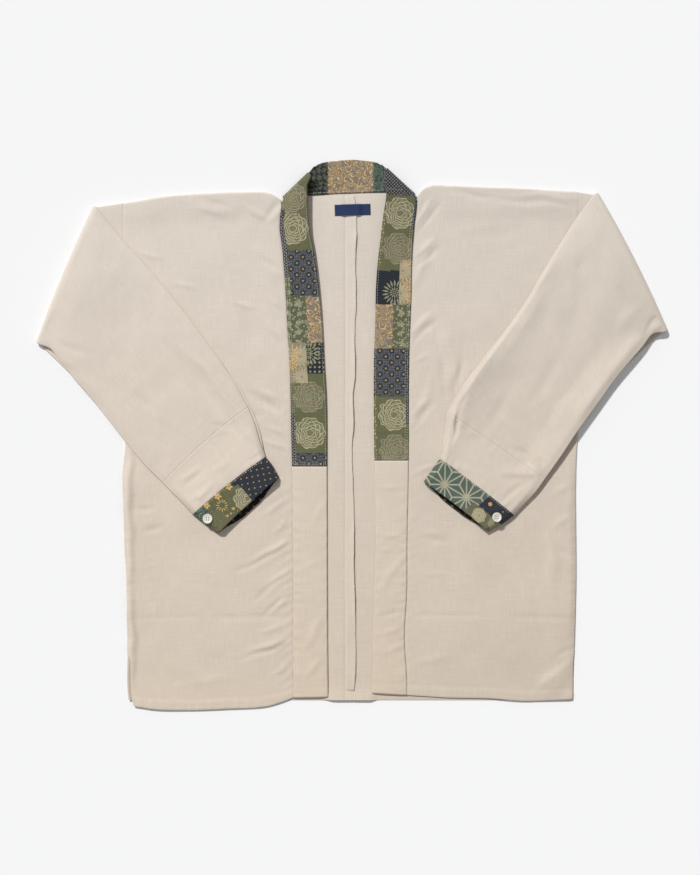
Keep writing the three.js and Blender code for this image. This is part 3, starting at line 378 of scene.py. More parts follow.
def creases(rows, x, y):
    """Relief of finer creases, each a little bent and dying out towards its ends."""
    bent_x = x + 2.2 * np.sin(y / 19) + 1.1 * np.sin(y / 7.3 + x / 31)
    bent_y = y + 2.2 * np.sin(x / 23) + 1.1 * np.sin(x / 8.1 + y / 27)
    height = 0.0 * x
    for *line, width, rise in rows:
        along, side = beside(line, bent_x, bent_y)
        fade = smooth(along / 0.55) * smooth((1 - along) / 0.45)
        height = height + rise * fade * (1 - smooth(side / (width * (0.55 + 0.45 * fade))))
    return height


def ripple(x, y):
    """Slight waviness of cloth that lies loose."""
    slow = np.sin(x / 37 + 1.9 * np.sin(y / 53)) * np.sin(y / 43 + 1.6 * np.sin(x / 67))
    middle = np.sin(x / 19 + 2.3 * np.sin(y / 31)) * np.sin(y / 23 + 2.1 * np.sin(x / 37))
    quick = np.sin(x / 9 + 2.6 * np.sin(y / 17)) * np.sin(y / 8 + 2.2 * np.sin(x / 21))
    return 0.34 * slow + 0.2 * middle + 0.05 * quick


def groove(distance, depth, wide):
    """Trough along a line of stitching, from the distance to it."""
    return -depth * (1 - smooth(np.abs(distance) / wide))


def puckers(along, away, reach, pitch, rise, slant):
    """Small uneven gathers beside a line of stitching."""
    phase = (along + slant * away) / pitch + 0.35 * np.sin(along / 31) + 0.2 * np.sin(along / 11)
    strength = 0.55 + 0.45 * np.sin(along / 47 + 1.7 * np.sin(along / 83))
    near = (1 - smooth(away / reach)) * smooth(away / 1.5)
    return rise * np.sin(2 * np.pi * phase) * strength * near


def ridge(away, middle, wide):
    """A soft ridge along a line, by the distance from it."""
    return 1 - smooth(np.abs(away - middle) / wide)


def front_base(half, x, y):
    """Height of a front's top face without its finer creases."""
    from_shoulder = curve(SHOULDER[half], x) - y
    side_x = curve(SIDE[half], y)
    from_side = np.abs(side_x - x)
    inside = np.abs(x) < np.abs(side_x)
    roll = SIDE_ROLL * smooth(from_side / SIDE_ROLL_IN) * (1 - smooth(from_side / SIDE_ROLL_FADE))
    roll = roll * smooth((UNDERARM_Y - 20 - y) / 70) * inside
    puff = SHOULDER_PUFF * (1 - smooth(from_shoulder / SHOULDER_FADE))
    hem_fade = smooth((y - VENT_TOP_Y) / 60) * 0.6 + 0.4
    return FRONT_REST + puff + roll * hem_fade + relief(FRONT_FOLDS[half], x, y)


def front_top(half, x, y):
    """Height of a front's top face with its creases, hem and seam troughs."""
    seam = np.abs(x - curve(SEAM[half], y))
    side = np.abs(x - curve(SIDE[half], y))
    to_hem = y - curve(HEM[half], x)
    doubled = HEM_STEP * (1 - smooth((to_hem - HEM_DEEP) / 1.5))
    hem = doubled + groove(to_hem - HEM_DEEP, depth=0.6, wide=2.5)
    fine = CREASE_GAIN * (creases(FRONT_CREASES[half], x, y) + ripple(x, y) * smooth(seam / 30))
    slant, gather, more_below = COLLAR_GATHER[half]
    gather = gather + more_below * smooth((-20 - y) / 60)
    fine = fine + gather * puckers(y, seam, reach=24, pitch=12.5, rise=1.0, slant=slant)
    fine = fine + puckers(x, to_hem, reach=18, pitch=17, rise=0.25, slant=0.1)
    fine = fine + puckers(y, side, reach=16, pitch=19, rise=0.3, slant=0.2) * smooth(-y / 20)
    return front_base(half, x, y) + fine + groove(seam, depth=0.4, wide=3.5) + hem


def to_piece(bm, name):
    """Turns a mesh that has been built into an object of the scene."""
    mesh = bpy.data.meshes.new(name)
    bm.to_mesh(mesh)
    bm.free()
    piece = bpy.data.objects.new(name, mesh)
    bpy.context.collection.objects.link(piece)
    return piece


def cloth_mesh(name, across, along, place, keep=None, closed=False, slots=None):
    """Grid of cloth. place(column, row) gives points in mm and flat lengths in mm.

    keep(column, row) says which faces stay, slots(column, row, middle) gives a face its material.
    """
    bm = bmesh.new()
    bmesh.ops.create_grid(bm, x_segments=across, y_segments=along, size=0.5)
    flat = np.array([vert.co[:2] for vert in bm.verts])
    column = np.rint((flat[:, 0] + 0.5) * across)
    row = np.rint((flat[:, 1] + 0.5) * along)
    points, lengths = place(column, row)
    points = (points + np.array(SHIFT)) * MM
    for vert, point in zip(bm.verts, points):
        vert.co = point
    layer = bm.loops.layers.uv.new("cloth")
    bm.verts.index_update()
    drop = []
    for face in bm.faces:
        index = [vert.index for vert in face.verts]
        for loop in face.loops:
            loop[layer].uv = lengths[loop.vert.index] * MM
        first_column = min(column[i] for i in index)
        first_row = min(row[i] for i in index)
        if keep and not keep(first_column, first_row):
            drop.append(face)
        if slots:
            middle = points[index].mean(axis=0) / MM - np.array(SHIFT)
            face.material_index = slots(first_column, first_row, middle)
        face.smooth = True
    bmesh.ops.delete(bm, geom=drop, context="FACES")
    if closed:
        bmesh.ops.remove_doubles(bm, verts=bm.verts, dist=1e-7)
    highest = max(bm.faces, key=lambda face: face.calc_center_median().z)
    highest.normal_update()
    if highest.normal.z < 0:
        bmesh.ops.reverse_faces(bm, faces=bm.faces)
    return to_piece(bm, name)


def finish_piece(piece, thickness, materials, replaced, inside=None):
    """Gives a cloth piece its thickness, materials and place in the frame."""
    solid = piece.modifiers.new("thickness", "SOLIDIFY")
    solid.thickness = thickness * MM
    solid.offset = -1
    if inside:
        materials = [*materials, inside]
        solid.material_offset = len(materials)
    piece.modifiers.new("normals", "WEIGHTED_NORMAL")
    for material in materials:
        piece.data.materials.append(material)
    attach(piece, "root")
    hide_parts(replaced)
    return piece


def stack(*columns):
    """Puts columns side by side as rows of points."""
    return np.stack(np.broadcast_arrays(*columns), axis=1)


def body_half(half):
    """Back, shoulder fold and front of one half, cut in one."""
    sign = -1 if half == "right" else 1
    shared, back_only = 84, 20
    back_rows, bend_rows, front_rows = 60, 12, 256
    rows = back_rows + bend_rows + front_rows
    neck_x = float(curve(SEAM[half], SHOULDER_TOP_Y))
    centre_x = CENTRE_SEAM_X + sign * 0.05

    def place(column, row):
        share = np.clip(column / shared, 0, 1)
        beyond = np.clip((column - shared) / back_only, 0, 1)
        bend_x = mix(curve(SIDE[half], SHOULDER_TOP_Y), neck_x, share)
        shoulder = curve(SHOULDER[half], bend_x)
        radius = front_top(half, bend_x, shoulder) / 2
        # back
        t = np.clip(row / back_rows, 0, 1)
        neck_y = curve(NECKLINE, mix(bend_x, centre_x, beyond))
        top = np.where(column <= shared, shoulder - radius, neck_y - 0.2)
        back_y = mix(BACK_HEM_Y, top, t)
        back_x = mix(mix(curve(SIDE[half], back_y), neck_x, share), centre_x, beyond)
        # bend over the shoulder
        angle = np.pi * np.clip((row - back_rows) / bend_rows, 0, 1)
        bend_y = shoulder - radius + np.sin(angle) * radius
        bend_z = radius - np.cos(angle) * radius
        # front
        f = np.clip((row - back_rows - bend_rows) / front_rows, 0, 1)
        foot_x = mix(curve(SIDE[half], BACK_HEM_Y), curve(SEAM[half], BACK_HEM_Y), share)
        foot = curve(HEM[half], foot_x)
        front_y = mix(shoulder - radius, foot, f)
        front_x = mix(curve(SIDE[half], front_y), curve(SEAM[half], front_y), share)
        front_x = np.where(f == 0, bend_x, front_x)
        vent = smooth((VENT_TOP_Y - front_y) / 12) * (1 - smooth(share / 0.2))
        front_x = front_x - sign * vent * VENT_STEP[half]
        front_z = front_top(half, front_x, front_y)
        # the back's side rolls up at the vent, its hem stands off the floor between the bands
        curl = np.clip(VENT_STEP[half] - 1.0, 0, 3) * smooth((VENT_TOP_Y - back_y) / 12)
        from_side = np.abs(curve(SIDE[half], back_y) - back_x)
        curl = curl * (1 - smooth((from_side - 1.5) / 3.5))
        between_bands = smooth((back_x + 40) / 14) * smooth((34 - back_x) / 14)
        curl = curl + BACK_HEM_LIFT * between_bands * (1 - smooth((back_y - BACK_HEM_Y) / 16))
        loose = 0.4 + 0.7 * ripple(back_x * 1.4, back_y * 0.8)
        loose = loose + creases(BACK_CREASES, back_x, back_y)
        curl = curl + np.clip(loose, 0, 2) * between_bands

        def by_part(back, bend, front):
            beyond_back = np.where(row >= back_rows + bend_rows, front, bend)
            return np.where(row <= back_rows, back, beyond_back)

        x = by_part(back_x, bend_x, front_x)
        y = by_part(back_y, bend_y, front_y)
        z = by_part(curl, bend_z, front_z)
        run = by_part(back_y, shoulder, 2 * shoulder - front_y)
        return stack(x, y, z), stack(x, run)

    def keep(column, row):
        return column < shared or row < back_rows

    return cloth_mesh(f"noragi_body_{half}", shared + back_only, rows, place, keep)


def band_height(u, y):
    """Top of a band or front strip above its rest: slightly crowned, with stitched edges."""
    across = u * STRIP_WIDE
    from_free = STRIP_WIDE - across
    gathers = (puckers(y, across, reach=20, pitch=15, rise=0.3, slant=0.1)
               + puckers(y, from_free, reach=16, pitch=21, rise=0.25, slant=-0.2))
    edges = groove(across - 2.5, depth=0.3, wide=2) + groove(from_free - 2.5, depth=0.25, wide=2)
    crown = 0.5 * np.sin(np.pi * np.clip(u, 0, 1)) + 0.25 * ripple(across * 1.7 + 90, y)
    return crown + edges + gathers


def front_band(half):
    """The plain doubled band below the collar."""
    across, rows = 20, 130
    sign = 1 if half == "right" else -1
    top = COLLAR_END_Y[half] - 0.1

    def place(column, row):
        u = column / across
        foot = mix(BAND_HEM[half][0], BAND_HEM[half][1], u)
        y = mix(top, foot, row / rows)
        x = mix(curve(SEAM[half], y) + sign * 0.15, curve(FREE_EDGE[half], y), u)
        hem = groove(y - foot - HEM_DEEP, depth=0.3, wide=2.5)
        top_face = COLLAR_REST + DOUBLED + band_height(u, y)
        z = top_face + creases(BAND_CREASES[half], x, y) + hem
        return stack(x, y, z), stack(u * STRIP_WIDE, y)

    return cloth_mesh(f"noragi_front_band_{half}", across, rows, place)


# Rows of the collar's grid: one strip, one mitre, the neck, the other mitre, the other strip
STRIP_ROWS, MITRE_ROWS, NECK_ROWS, COLLAR_ACROSS = 170, 16, 70, 26


def collar_place(column, row):
    """Points of the patterned collar, from the right front's lower end to the left one's."""
    u = column / COLLAR_ACROSS
    starts = np.cumsum([0, STRIP_ROWS, MITRE_ROWS, NECK_ROWS, MITRE_ROWS, STRIP_ROWS])
    points = np.zeros((3, len(u)))

    def put(here, *values):
        for axis, value in enumerate(values):
            points[axis] = np.where(here, value, points[axis])

    corner_lift = CORNER_LIFT * smooth(u / 0.3)
    for half, sign, strip, bend in (("right", 1, 0, 1), ("left", -1, 4, 3)):
        # the strip: its rows are spaced by their length down the front
        t = np.clip((row - starts[strip]) / STRIP_ROWS, 0, 1)
        t = 1 - t if half == "right" else t
        down = [-float(r[0]) for r in COLLAR_ROWS[half]]
        index = np.interp(mix(down[0], down[-1], t), down, range(len(down)))
        seam_y, free_y, seam_lift, free_lift = along_rows(COLLAR_ROWS[half], index)
        y = mix(seam_y, free_y, u)
        x = mix(curve(SEAM[half], seam_y) + sign * 0.15, curve(FREE_EDGE[half], free_y), u)
        lift = mix(seam_lift, free_lift, u ** 1.3)
        z = COLLAR_REST + DOUBLED + lift + band_height(u, y) * smooth(t / 0.15)
        put((row >= starts[strip]) & (row <= starts[strip + 1]), x, y, z)
        # the mitre: half a turn about its fold line
        seam_x, seam_y, free_x, free_y, seam_rise, free_rise = MITRE[half]
        out = sign * np.array([seam_y - free_y, free_x - seam_x])
        out = out / np.hypot(*out)
        turn = np.clip((row - starts[bend]) / MITRE_ROWS, 0, 1)
        turn = 1 - turn if half == "right" else turn
        radius = mix(seam_rise, free_rise, u)
        swing = radius * np.sin(np.pi * turn)
        x = mix(seam_x, free_x, u)
        y = mix(seam_y, free_y, u)
        z = radius - radius * np.cos(np.pi * turn)
        in_mitre = (row > starts[bend]) & (row < starts[bend + 1])
        put(in_mitre, x + out[0] * swing, y + out[1] * swing, z)
        edge_row = starts[bend] if half == "left" else starts[bend + 1]
        put(row == edge_row, x, y, corner_lift)
    # the neck, its corners a little raised
    t = (row - starts[2]) / NECK_ROWS
    sewn_x = mix(MITRE["right"][0], MITRE["left"][0], t)
    free_x = mix(MITRE["right"][2], MITRE["left"][2], t)
    x = mix(sewn_x, free_x, u)
    y = mix(curve(NECKLINE, sewn_x) + 0.2, curve(NECK_TOP, free_x), u)
    z = corner_lift * (1 - smooth((np.minimum(t, 1 - t) - 0.02) / 0.05))
    put((row > starts[2]) & (row < starts[3]), x, y, z)
    return stack(*points), stack(u * STRIP_WIDE, row * 2.2)


# Patches of the right and left front strips: low y, high y, from share, to share, finish.
# Later rows lie over earlier ones.
STRIP_PATCHES = {
    "right": [(-50, -24, 0, 1, "navy_fretwork"), (-24, 30, 0, 1, "rosette_low_right"),
              (30, 80, 0, 1, "mum_low_right"), (68, 122, 0, 0.5, "tan_rays_right"),
              (80, 122, 0.5, 1, "firework_right"), (121, 182, 0, 0.56, "green_blossom"),
              (121, 182, 0.56, 1, "tan_arabesque"), (182, 243, 0, 1, "navy_fretwork"),
              (243, 291, 0, 1, "rosette_high_right"), (291, 400, 0, 1, "mum_high_right"),
              (182, 208, 0, 0.16, "olive_border"), (208, 296, 0, 0.16, "navy_dots"),
              (-50, 30, 0, 0.13, "navy_dots")],
    "left": [(-50, 2, 0, 1, "mum_low_left"), (2, 51, 0, 1, "rosette_low_left"),
             (-36, 51, 0.93, 1, "gold_border"), (51, 114, 0, 1, "navy_fretwork_left"),
             (114, 172, 0, 0.5, "green_blossom"), (114, 172, 0.5, 1, "tan_arabesque"),
             (172, 216, 0, 1, "firework_left"), (216, 267, 0, 1, "mum_high_left"),
             (172, 230, 0, 0.36, "tan_rays_left"), (267, 315, 0, 1, "rosette_high_left"),
             (222, 290, 0.93, 1, "gold_border"), (315, 400, 0, 1, "navy_dots"),
             (270, 315, 0, 0.09, "navy_dots"), (12, 51, 0, 0.09, "navy_dots")],
}
NECK_PATCHES = [(-120, -33, "navy_floral"), (-33, 27, "tan_arabesque"), (27, 41, "teal_floral"),
                (41, 120, "navy_dots")]


def build_collar(finishes):
    """The patterned strip, with a finish for each patch."""
    names = list(finishes)
    last = 2 * STRIP_ROWS + 2 * MITRE_ROWS + NECK_ROWS

    def slots(column, row, middle):
        share = (column + 0.5) / COLLAR_ACROSS
        half = "right" if row < last / 2 else "left"
        from_end = row if half == "right" else last - 1 - row
        if from_end >= STRIP_ROWS + MITRE_ROWS * 0.5:
            for low, high, finish in NECK_PATCHES:
                if low <= middle[0] < high:
                    return names.index(finish)
        found = 0
        for low, high, start, end, finish in STRIP_PATCHES[half]:
            if low <= middle[1] < high and start <= share < end:
                found = names.index(finish)
        return found

    piece = cloth_mesh("noragi_collar", COLLAR_ACROSS, last, collar_place, slots=slots)
    return finish_piece(piece, DOUBLED, finishes.values(), "collar")


def tube(name, across, rows, chord, slots=None):
    """Flattened tube of cloth.

    chord(row) gives its ends, the height of its rolled edges and a function to_points(u, level)
    for the points at a share of its width and at a level. 0 is the layer that is the lower one at
    the armhole and 1 is the other.
    """
    edge_steps = 6
    half_edge = edge_steps / 2
    lower_end = half_edge + across
    under_end = lower_end + edge_steps
    upper_end = under_end + across

    def place(column, row):
        ends, height_at, to_points = chord(row)
        top_x, top_y, under_x, under_y = ends
        long = np.hypot(under_x - top_x, under_y - top_y)
        roll = height_at / 2 / long

        def edge(angle):
            return roll * (1 - np.cos(angle)), 0.5 + 0.5 * np.sin(angle)

        # half the top edge, the lower layer, the under edge, the upper layer, the rest
        start_u, start_level = edge(-np.clip(column / half_edge, 0, 1) * np.pi / 2)
        lower_u = mix(roll, 1 - roll, (column - half_edge) / across)
        turn_u, turn_level = edge(np.pi * ((column - lower_end) / edge_steps - 0.5))
        upper_u = mix(1 - roll, roll, (column - under_end) / across)
        close_u, close_level = edge((1 - (column - upper_end) / half_edge) * np.pi / 2)
        parts = [column <= half_edge, column < lower_end, column <= under_end, column < upper_end]
        u = np.select(parts, [start_u, lower_u, 1 - turn_u, upper_u], close_u)
        level = np.select(parts, [start_level, 0.0, turn_level, 1.0], close_level)
        girth = np.where(column <= (lower_end + under_end) / 2, u, 2 - u) * long
        return stack(*to_points(u, level)), stack(girth, row * 4.0)

    def slot_of(column, row, _middle):
        share = (column + 0.5 - half_edge) / across
        if column > lower_end + half_edge:
            share = 1 - (column + 0.5 - under_end) / across
        return slots(share, row)

    around = 2 * across + 2 * edge_steps
    return cloth_mesh(name, around, rows, place, closed=True, slots=slot_of if slots else None)


class Sleeve:
    """Heights and chords of one sleeve, its forearm and its cuff."""

    def __init__(self, half):
        self.half = half
        self.data = SLEEVE[half]
        # plan directions away from the fold, and along the forearm
        top_x, top_y, under_x, under_y = self.data["fold"]
        long = math.hypot(under_x - top_x, under_y - top_y)
        self.out_x = self.data["outward"] * (top_y - under_y) / long
        self.out_y = self.data["outward"] * (under_x - top_x) / long
        start, mouth = self.data["cuff"][0], self.data["cuff"][-1]
        dx = mouth[0] - start[0] + mouth[2] - start[2]
        dy = mouth[1] - start[1] + mouth[3] - start[3]
        self.along_x = dx / math.hypot(dx, dy)
        self.along_y = dy / math.hypot(dx, dy)

    def base(self, x, y):
        """Height of the front under the sleeve."""
        return front_base(self.half, x, y)

    def axis(self, u):
        """Height of the line that the sleeve is folded about."""
        ends, middle = self.data["axis"]
        return ends + middle * 4 * u * (1 - u)

    def fold_point(self, u):
        """Plan place on the line of the fold."""
        top_x, top_y, under_x, under_y = self.data["fold"]
        return mix(top_x, under_x, u), mix(top_y, under_y, u)

    def fold_height(self, u):
        """Height of the front where the fold is."""
        return self.base(*self.fold_point(u))

    def laid_layers(self, u, x, y):
        """Height of the laid sleeve's under face, and its height from there to its top face."""
        top_x, top_y = self.data["fold"][:2]
        away = np.abs((x - top_x) * self.out_x + (y - top_y) * self.out_y)
        raised = 2 * self.axis(u) - self.fold_height(u)
        under = mix(raised, self.base(x, y) + LAYER_CLEAR, smooth(away / self.data["drop"]))
        under = under + curve(UNDERARM_STAND[self.half], y) * smooth((u - 0.72) / 0.26)
        edge = smooth(u / 0.08) * smooth((1 - u) / 0.08)
        folds = relief(SLEEVE_FOLDS[self.half], x, y)
        full = 2 * WALL + 0.6 + edge * (1.2 + folds)
        return under, mix(self.fold_height(u), full, smooth(away / 30))

    def cuff_layers(self, u, x, y):
        """The same two heights of the cuff."""
        ends = smooth(u / CUFF_EDGE) * smooth((1 - u) / CUFF_EDGE)
        under = self.base(x, y) + LAYER_CLEAR + 0.2
        return under, mix(2 * CUFF_LAYER + 1.6, CUFF_HEIGHT, ends)

    def fine(self, u, x, y, long):
        """Finer creases on the layer that shows, and the soft rolls beside its edges."""
        top, under = u * long, (1 - u) * long
        edge = smooth(top / 6) * smooth(under / 6)
        wide = 50 + 8 * np.sin(y / 33) + 4 * np.sin(y / 12)
        fall = np.clip((top - 2) / wide, 0, 1)
        rolls = curve(EDGE_ROLL[self.half], y) * (1 - fall) ** 2 + 0.3 * ridge(under, 8, 7)
        gathers = 0.0 * x
        for seam in (self.data["forearm"][0], self.data["cuff"][0]):
            share, away = beside(seam, x, y)
            across = share * math.hypot(seam[2] - seam[0], seam[3] - seam[1])
            across = across + 9 * np.sin(across / 17)
            gathers = gathers + puckers(across, away, reach=17, pitch=12, rise=0.32, slant=0.35)
        loose = CREASE_GAIN * (creases(SLEEVE_CREASES[self.half], x, y) + ripple(x * 1.2, y * 1.2))
        return edge * (loose + gathers + rolls)

    def laid_points(self, ends, layers, bow=0.0, lap=0.0, peek=0.0):
        """Turned layers: the one that was uppermost at the armhole is now the lowest."""
        long = np.hypot(ends[2] - ends[0], ends[3] - ends[1])
        side_x = (ends[2] - ends[0]) / long
        side_y = (ends[3] - ends[1]) / long

        def to_points(u, level):
            arch = bow * 4 * u * (1 - u)
            past = lap * level * smooth(u / LAP_FADE) * smooth((1 - u) / LAP_FADE)
            between = 1 - smooth(np.abs(level - 0.45) / 0.3)
            shows = smooth((level - 0.4) / 0.5) - 0.4 - 1.3 * between
            out = peek * UNDER_LAYER[self.half] * shows * (1 - smooth(u / 0.2))
            x = mix(ends[0], ends[2], u) + self.along_x * (arch + past) - out * side_x
            y = mix(ends[1], ends[3], u) + self.along_y * (arch + past) - out * side_y
            under, height = layers(u, x, y)
            top = self.fine(u, x, y, long) * (level < 0.3)
            return x, y, under + height * (1 - level) + top

        return to_points


def build_sleeve(half):
    """From the armhole to the fold, over it, and laid across the front to the join seam."""
    shape = Sleeve(half)
    data = shape.data
    open_rows, bend_rows, laid_rows = 14, 16, 130
    bend_end = open_rows + bend_rows
    last_chord = len(data["laid"]) - 1

    def chord(row):
        t = np.clip(row / open_rows, 0, 1)
        open_ends = [mix(a, b, t) for a, b in zip(data["armhole"], data["fold"])]
        curved = UNDERARM_CURVE[half] * 4 * t * (1 - t)
        open_ends[2] = open_ends[2] - data["outward"] * 0.75 * curved
        open_ends[3] = open_ends[3] + 0.66 * curved
        laid_at = last_chord * np.clip((row - bend_end) / laid_rows, 0, 1)
        from_fold = np.where(laid_at < 1, 2 * laid_at, 1 + laid_at)
        laid_ends = along_rows([data["fold"], *data["laid"]], from_fold)

        def by_part(opened, bent, laid):
            return np.where(row < open_rows, opened, np.where(row <= bend_end, bent, laid))

        bow = -data["bow"] * smooth(laid_at - last_chord + 1)
        peek = smooth((laid_at - last_chord + 2.2) / 1.6)
        to_laid = shape.laid_points(laid_ends, shape.laid_layers, bow=bow, peek=peek)

        def to_points(u, level):
            open_x = mix(open_ends[0], open_ends[2], u)
            open_y = mix(open_ends[1], open_ends[3], u)
            angle = np.pi * np.clip((row - open_rows) / bend_rows, 0, 1)
            fold_x, fold_y = shape.fold_point(u)
            arm = shape.axis(u) - shape.fold_height(u) * level
            bend_x = fold_x + shape.out_x * arm * np.sin(angle)
            bend_y = fold_y + shape.out_y * arm * np.sin(angle)
            laid_x, laid_y, laid_z = to_laid(u, level)
            x = by_part(open_x, bend_x, laid_x)
            y = by_part(open_y, bend_y, laid_y)
            open_z = level * shape.base(open_x, open_y)
            bend_z = shape.axis(u) - arm * np.cos(angle)
            return x, y, by_part(open_z, bend_z, laid_z)

        ends = [by_part(*three) for three in zip(open_ends, data["fold"], laid_ends)]
        return ends, SLEEVE_ROLL, to_points

    return tube(f"noragi_sleeve_{half}", 68, bend_end + laid_rows, chord)


def build_forearm(half):
    """The short part between the join seam and the cuff."""
    shape = Sleeve(half)
    data = shape.data
    rows = 30
    start = data["forearm"][0]
    seam = data["cuff"][0]
    long = math.hypot(seam[0] - start[0] + seam[2] - start[2],
                      seam[1] - start[1] + seam[3] - start[3]) / 2

    def layers(u, x, y):
        along = ((x - mix(start[0], start[2], u)) * shape.along_x
                 + (y - mix(start[1], start[3], u)) * shape.along_y)
        t = smooth(along / long)
        under, height = shape.laid_layers(u, x, y)
        cuff_under, cuff_height = shape.cuff_layers(u, x, y)
        return mix(under, cuff_under, t), mix(height, cuff_height, t)

    def chord(row):
        t = row / rows
        ends = along_rows(data["forearm"], t * (len(data["forearm"]) - 1))
        bow = -mix(data["bow"], data["cuff_bow"], t)
        peek = 1 - smooth((t - 0.5) / 0.5)
        to_points = shape.laid_points(ends, layers, bow=bow, peek=peek)
        return ends, mix(SLEEVE_ROLL, CUFF_ROLL, smooth(t)), to_points

    return tube(f"noragi_forearm_{half}", 68, rows, chord)


# Patches of each cuff: from and to share of its width from the top edge, from and to row from
# the seam to the mouth, finish. Later rows lie over earlier ones.
CUFF_ROWS = 20
CUFF_PATCHES = {
    "right": [(-1, 2, 0, 20, "green_gold"), (-1, 0.46, 0, 20, "navy_gold_dots"),
              (0.41, 0.63, 5, 20, "cuff_flower"), (0.78, 2, 9, 20, "brown_green"),
              (0.87, 2, 0, 9, "teal_floral")],
    "left": [(-1, 2, 0, 20, "teal_hemp_leaf"), (0.66, 2, 0, 11, "navy_one_flower"),
             (0.6, 2, 11, 20, "olive_floral")],
}


def build_cuff(half, finishes, inside):
    """A doubled cuff, with a finish for each patch and a lining that shows in its mouth, painted
    nearly black for the shade in there.
    """
    shape = Sleeve(half)
    data = shape.data
    names = list(finishes)

    def chord(row):
        t = row / CUFF_ROWS
        ends = along_rows(data["cuff"], t * (len(data["cuff"]) - 1))
        lap = data["lap"] * smooth((t - 0.5) / 0.5)
        bow = mix(-data["cuff_bow"], MOUTH_BOW, t)
        return ends, CUFF_ROLL, shape.laid_points(ends, shape.cuff_layers, bow=bow, lap=lap)

    def slots(share, row):
        found = 0
        for low, high, first, last, finish in CUFF_PATCHES[half]:
            if low <= share < high and first <= row < last:
                found = names.index(finish)
        return found

    piece = tube(f"noragi_cuff_{half}", 60, CUFF_ROWS, chord, slots)
    node = f"cuff_{half}"
    return finish_piece(piece, CUFF_CLOTH, finishes.values(), node, inside)


def seam_allowance():
    """The selvedge strip beside the centre-back seam, its free edge slightly curled."""
    across, rows = 8, 220
    low, high = ALLOWANCE_EDGE[-1][0], ALLOWANCE_EDGE[0][0]

    def place(column, row):
        u = column / across
        y = mix(low, high, row / rows)
        edge = curve(ALLOWANCE_EDGE, y) + 0.15 * np.sin(y / 5.1) + 0.1 * np.sin(y / 2.3)
        x = mix(CENTRE_SEAM_X - 0.1, edge, u)
        stands = mix(2.1, 0.5, smooth((y - 255) / 20))
        curl = stands * u ** 3 * (1 + 0.4 * np.sin(y / 37) + 0.25 * np.sin(y / 13))
        z = mix(CLOTH + 0.1, WALL + 0.4 + CLOTH, smooth(u / 0.3)) + curl
        return stack(x, y, z), stack(u * ALLOWANCE_WIDE, y)

    return cloth_mesh("noragi_centre_back_seam_allowance", across, rows, place)


def neck_label():
    """A small plain woven label that lies over the seam allowance."""
    across, rows = 48, 14

    def place(column, row):
        u = (column / across - 0.5) * LABEL["wide"]
        v = (row / rows - 0.5) * LABEL["deep"]
        turn = LABEL["turn"]
        x = LABEL["x"] + u * math.cos(turn) - v * math.sin(turn)
        y = LABEL["y"] + u * math.sin(turn) + v * math.cos(turn)
        over = smooth((x - CENTRE_SEAM_X + 7) / 7) * (1 - smooth((x - 7) / 7))
        z = WALL + LABEL_REST + LABEL_STEP * over
        return stack(x, y, z), stack(u, v)

    return cloth_mesh("noragi_neck_label", across, rows, place)


def paint(code):
    """Linear colour from an sRGB hex value."""
    parts = [int(code[i:i + 2], 16) / 255 for i in (0, 2, 4)]
    return [p / 12.92 if p <= 0.04045 else ((p + 0.055) / 1.055) ** 2.4 for p in parts] + [1.0]


def add(tree, kind, inputs=(), out=0, **settings):
    """Adds a node with its settings, and links or sets its inputs by order or by name."""
    node = tree.nodes.new("ShaderNode" + kind)
    for name, value in settings.items():
        setattr(node, name, value)
    pairs = inputs.items() if isinstance(inputs, dict) else enumerate(inputs)
    for socket, value in pairs:
        if isinstance(value, bpy.types.NodeSocket):
            tree.links.new(value, node.inputs[socket])
        else:
            node.inputs[socket].default_value = value
    return node.outputs[out] if len(node.outputs) else None


def local_mm(tree, centre=(0, 0), turn=0.0):
    """Place on the laid garment in mm, about a centre and turned."""
    there = add(tree, "TexCoord", out="Object")
    middle = ((centre[0] + SHIFT[0]) * MM, (centre[1] + SHIFT[1]) * MM, 0)
    return add(tree, "Mapping", (there, middle, (0, 0, turn), (MM, MM, 1.0)), vector_type="TEXTURE")


def start_material(name):
    """A material with an empty node tree."""
    material = bpy.data.materials.new(name)
    material.use_nodes = True
    material.node_tree.nodes.clear()
    return material, material.node_tree


def threads(tree, uv, pitch):
    """Height of a plain weave of that thread pitch, around 1, with slubs both ways."""
    cross = []
    for wide, long in ((1, 28), (28, 1)):
        scale = (1 / (wide * pitch * MM), 1 / (long * pitch * MM), 1)
        stretched = add(tree, "Mapping", {"Vector": uv, "Scale": scale})
        cross.append(add(tree, "TexNoise", {"Vector": stretched, "Scale": 1.0, "Detail": 2.0,
                                            "Roughness": 0.6}))
    return add(tree, "Math", cross, operation="ADD")


MOTTLE = 0.016                   # share by which the dye is uneven
PAINTED_LIGHT_WAY = (-0.15, 0.12, 0.0)    # painted light and shade: the cloth is drawn paler towards the upper left and darker towards the lower right, per metre
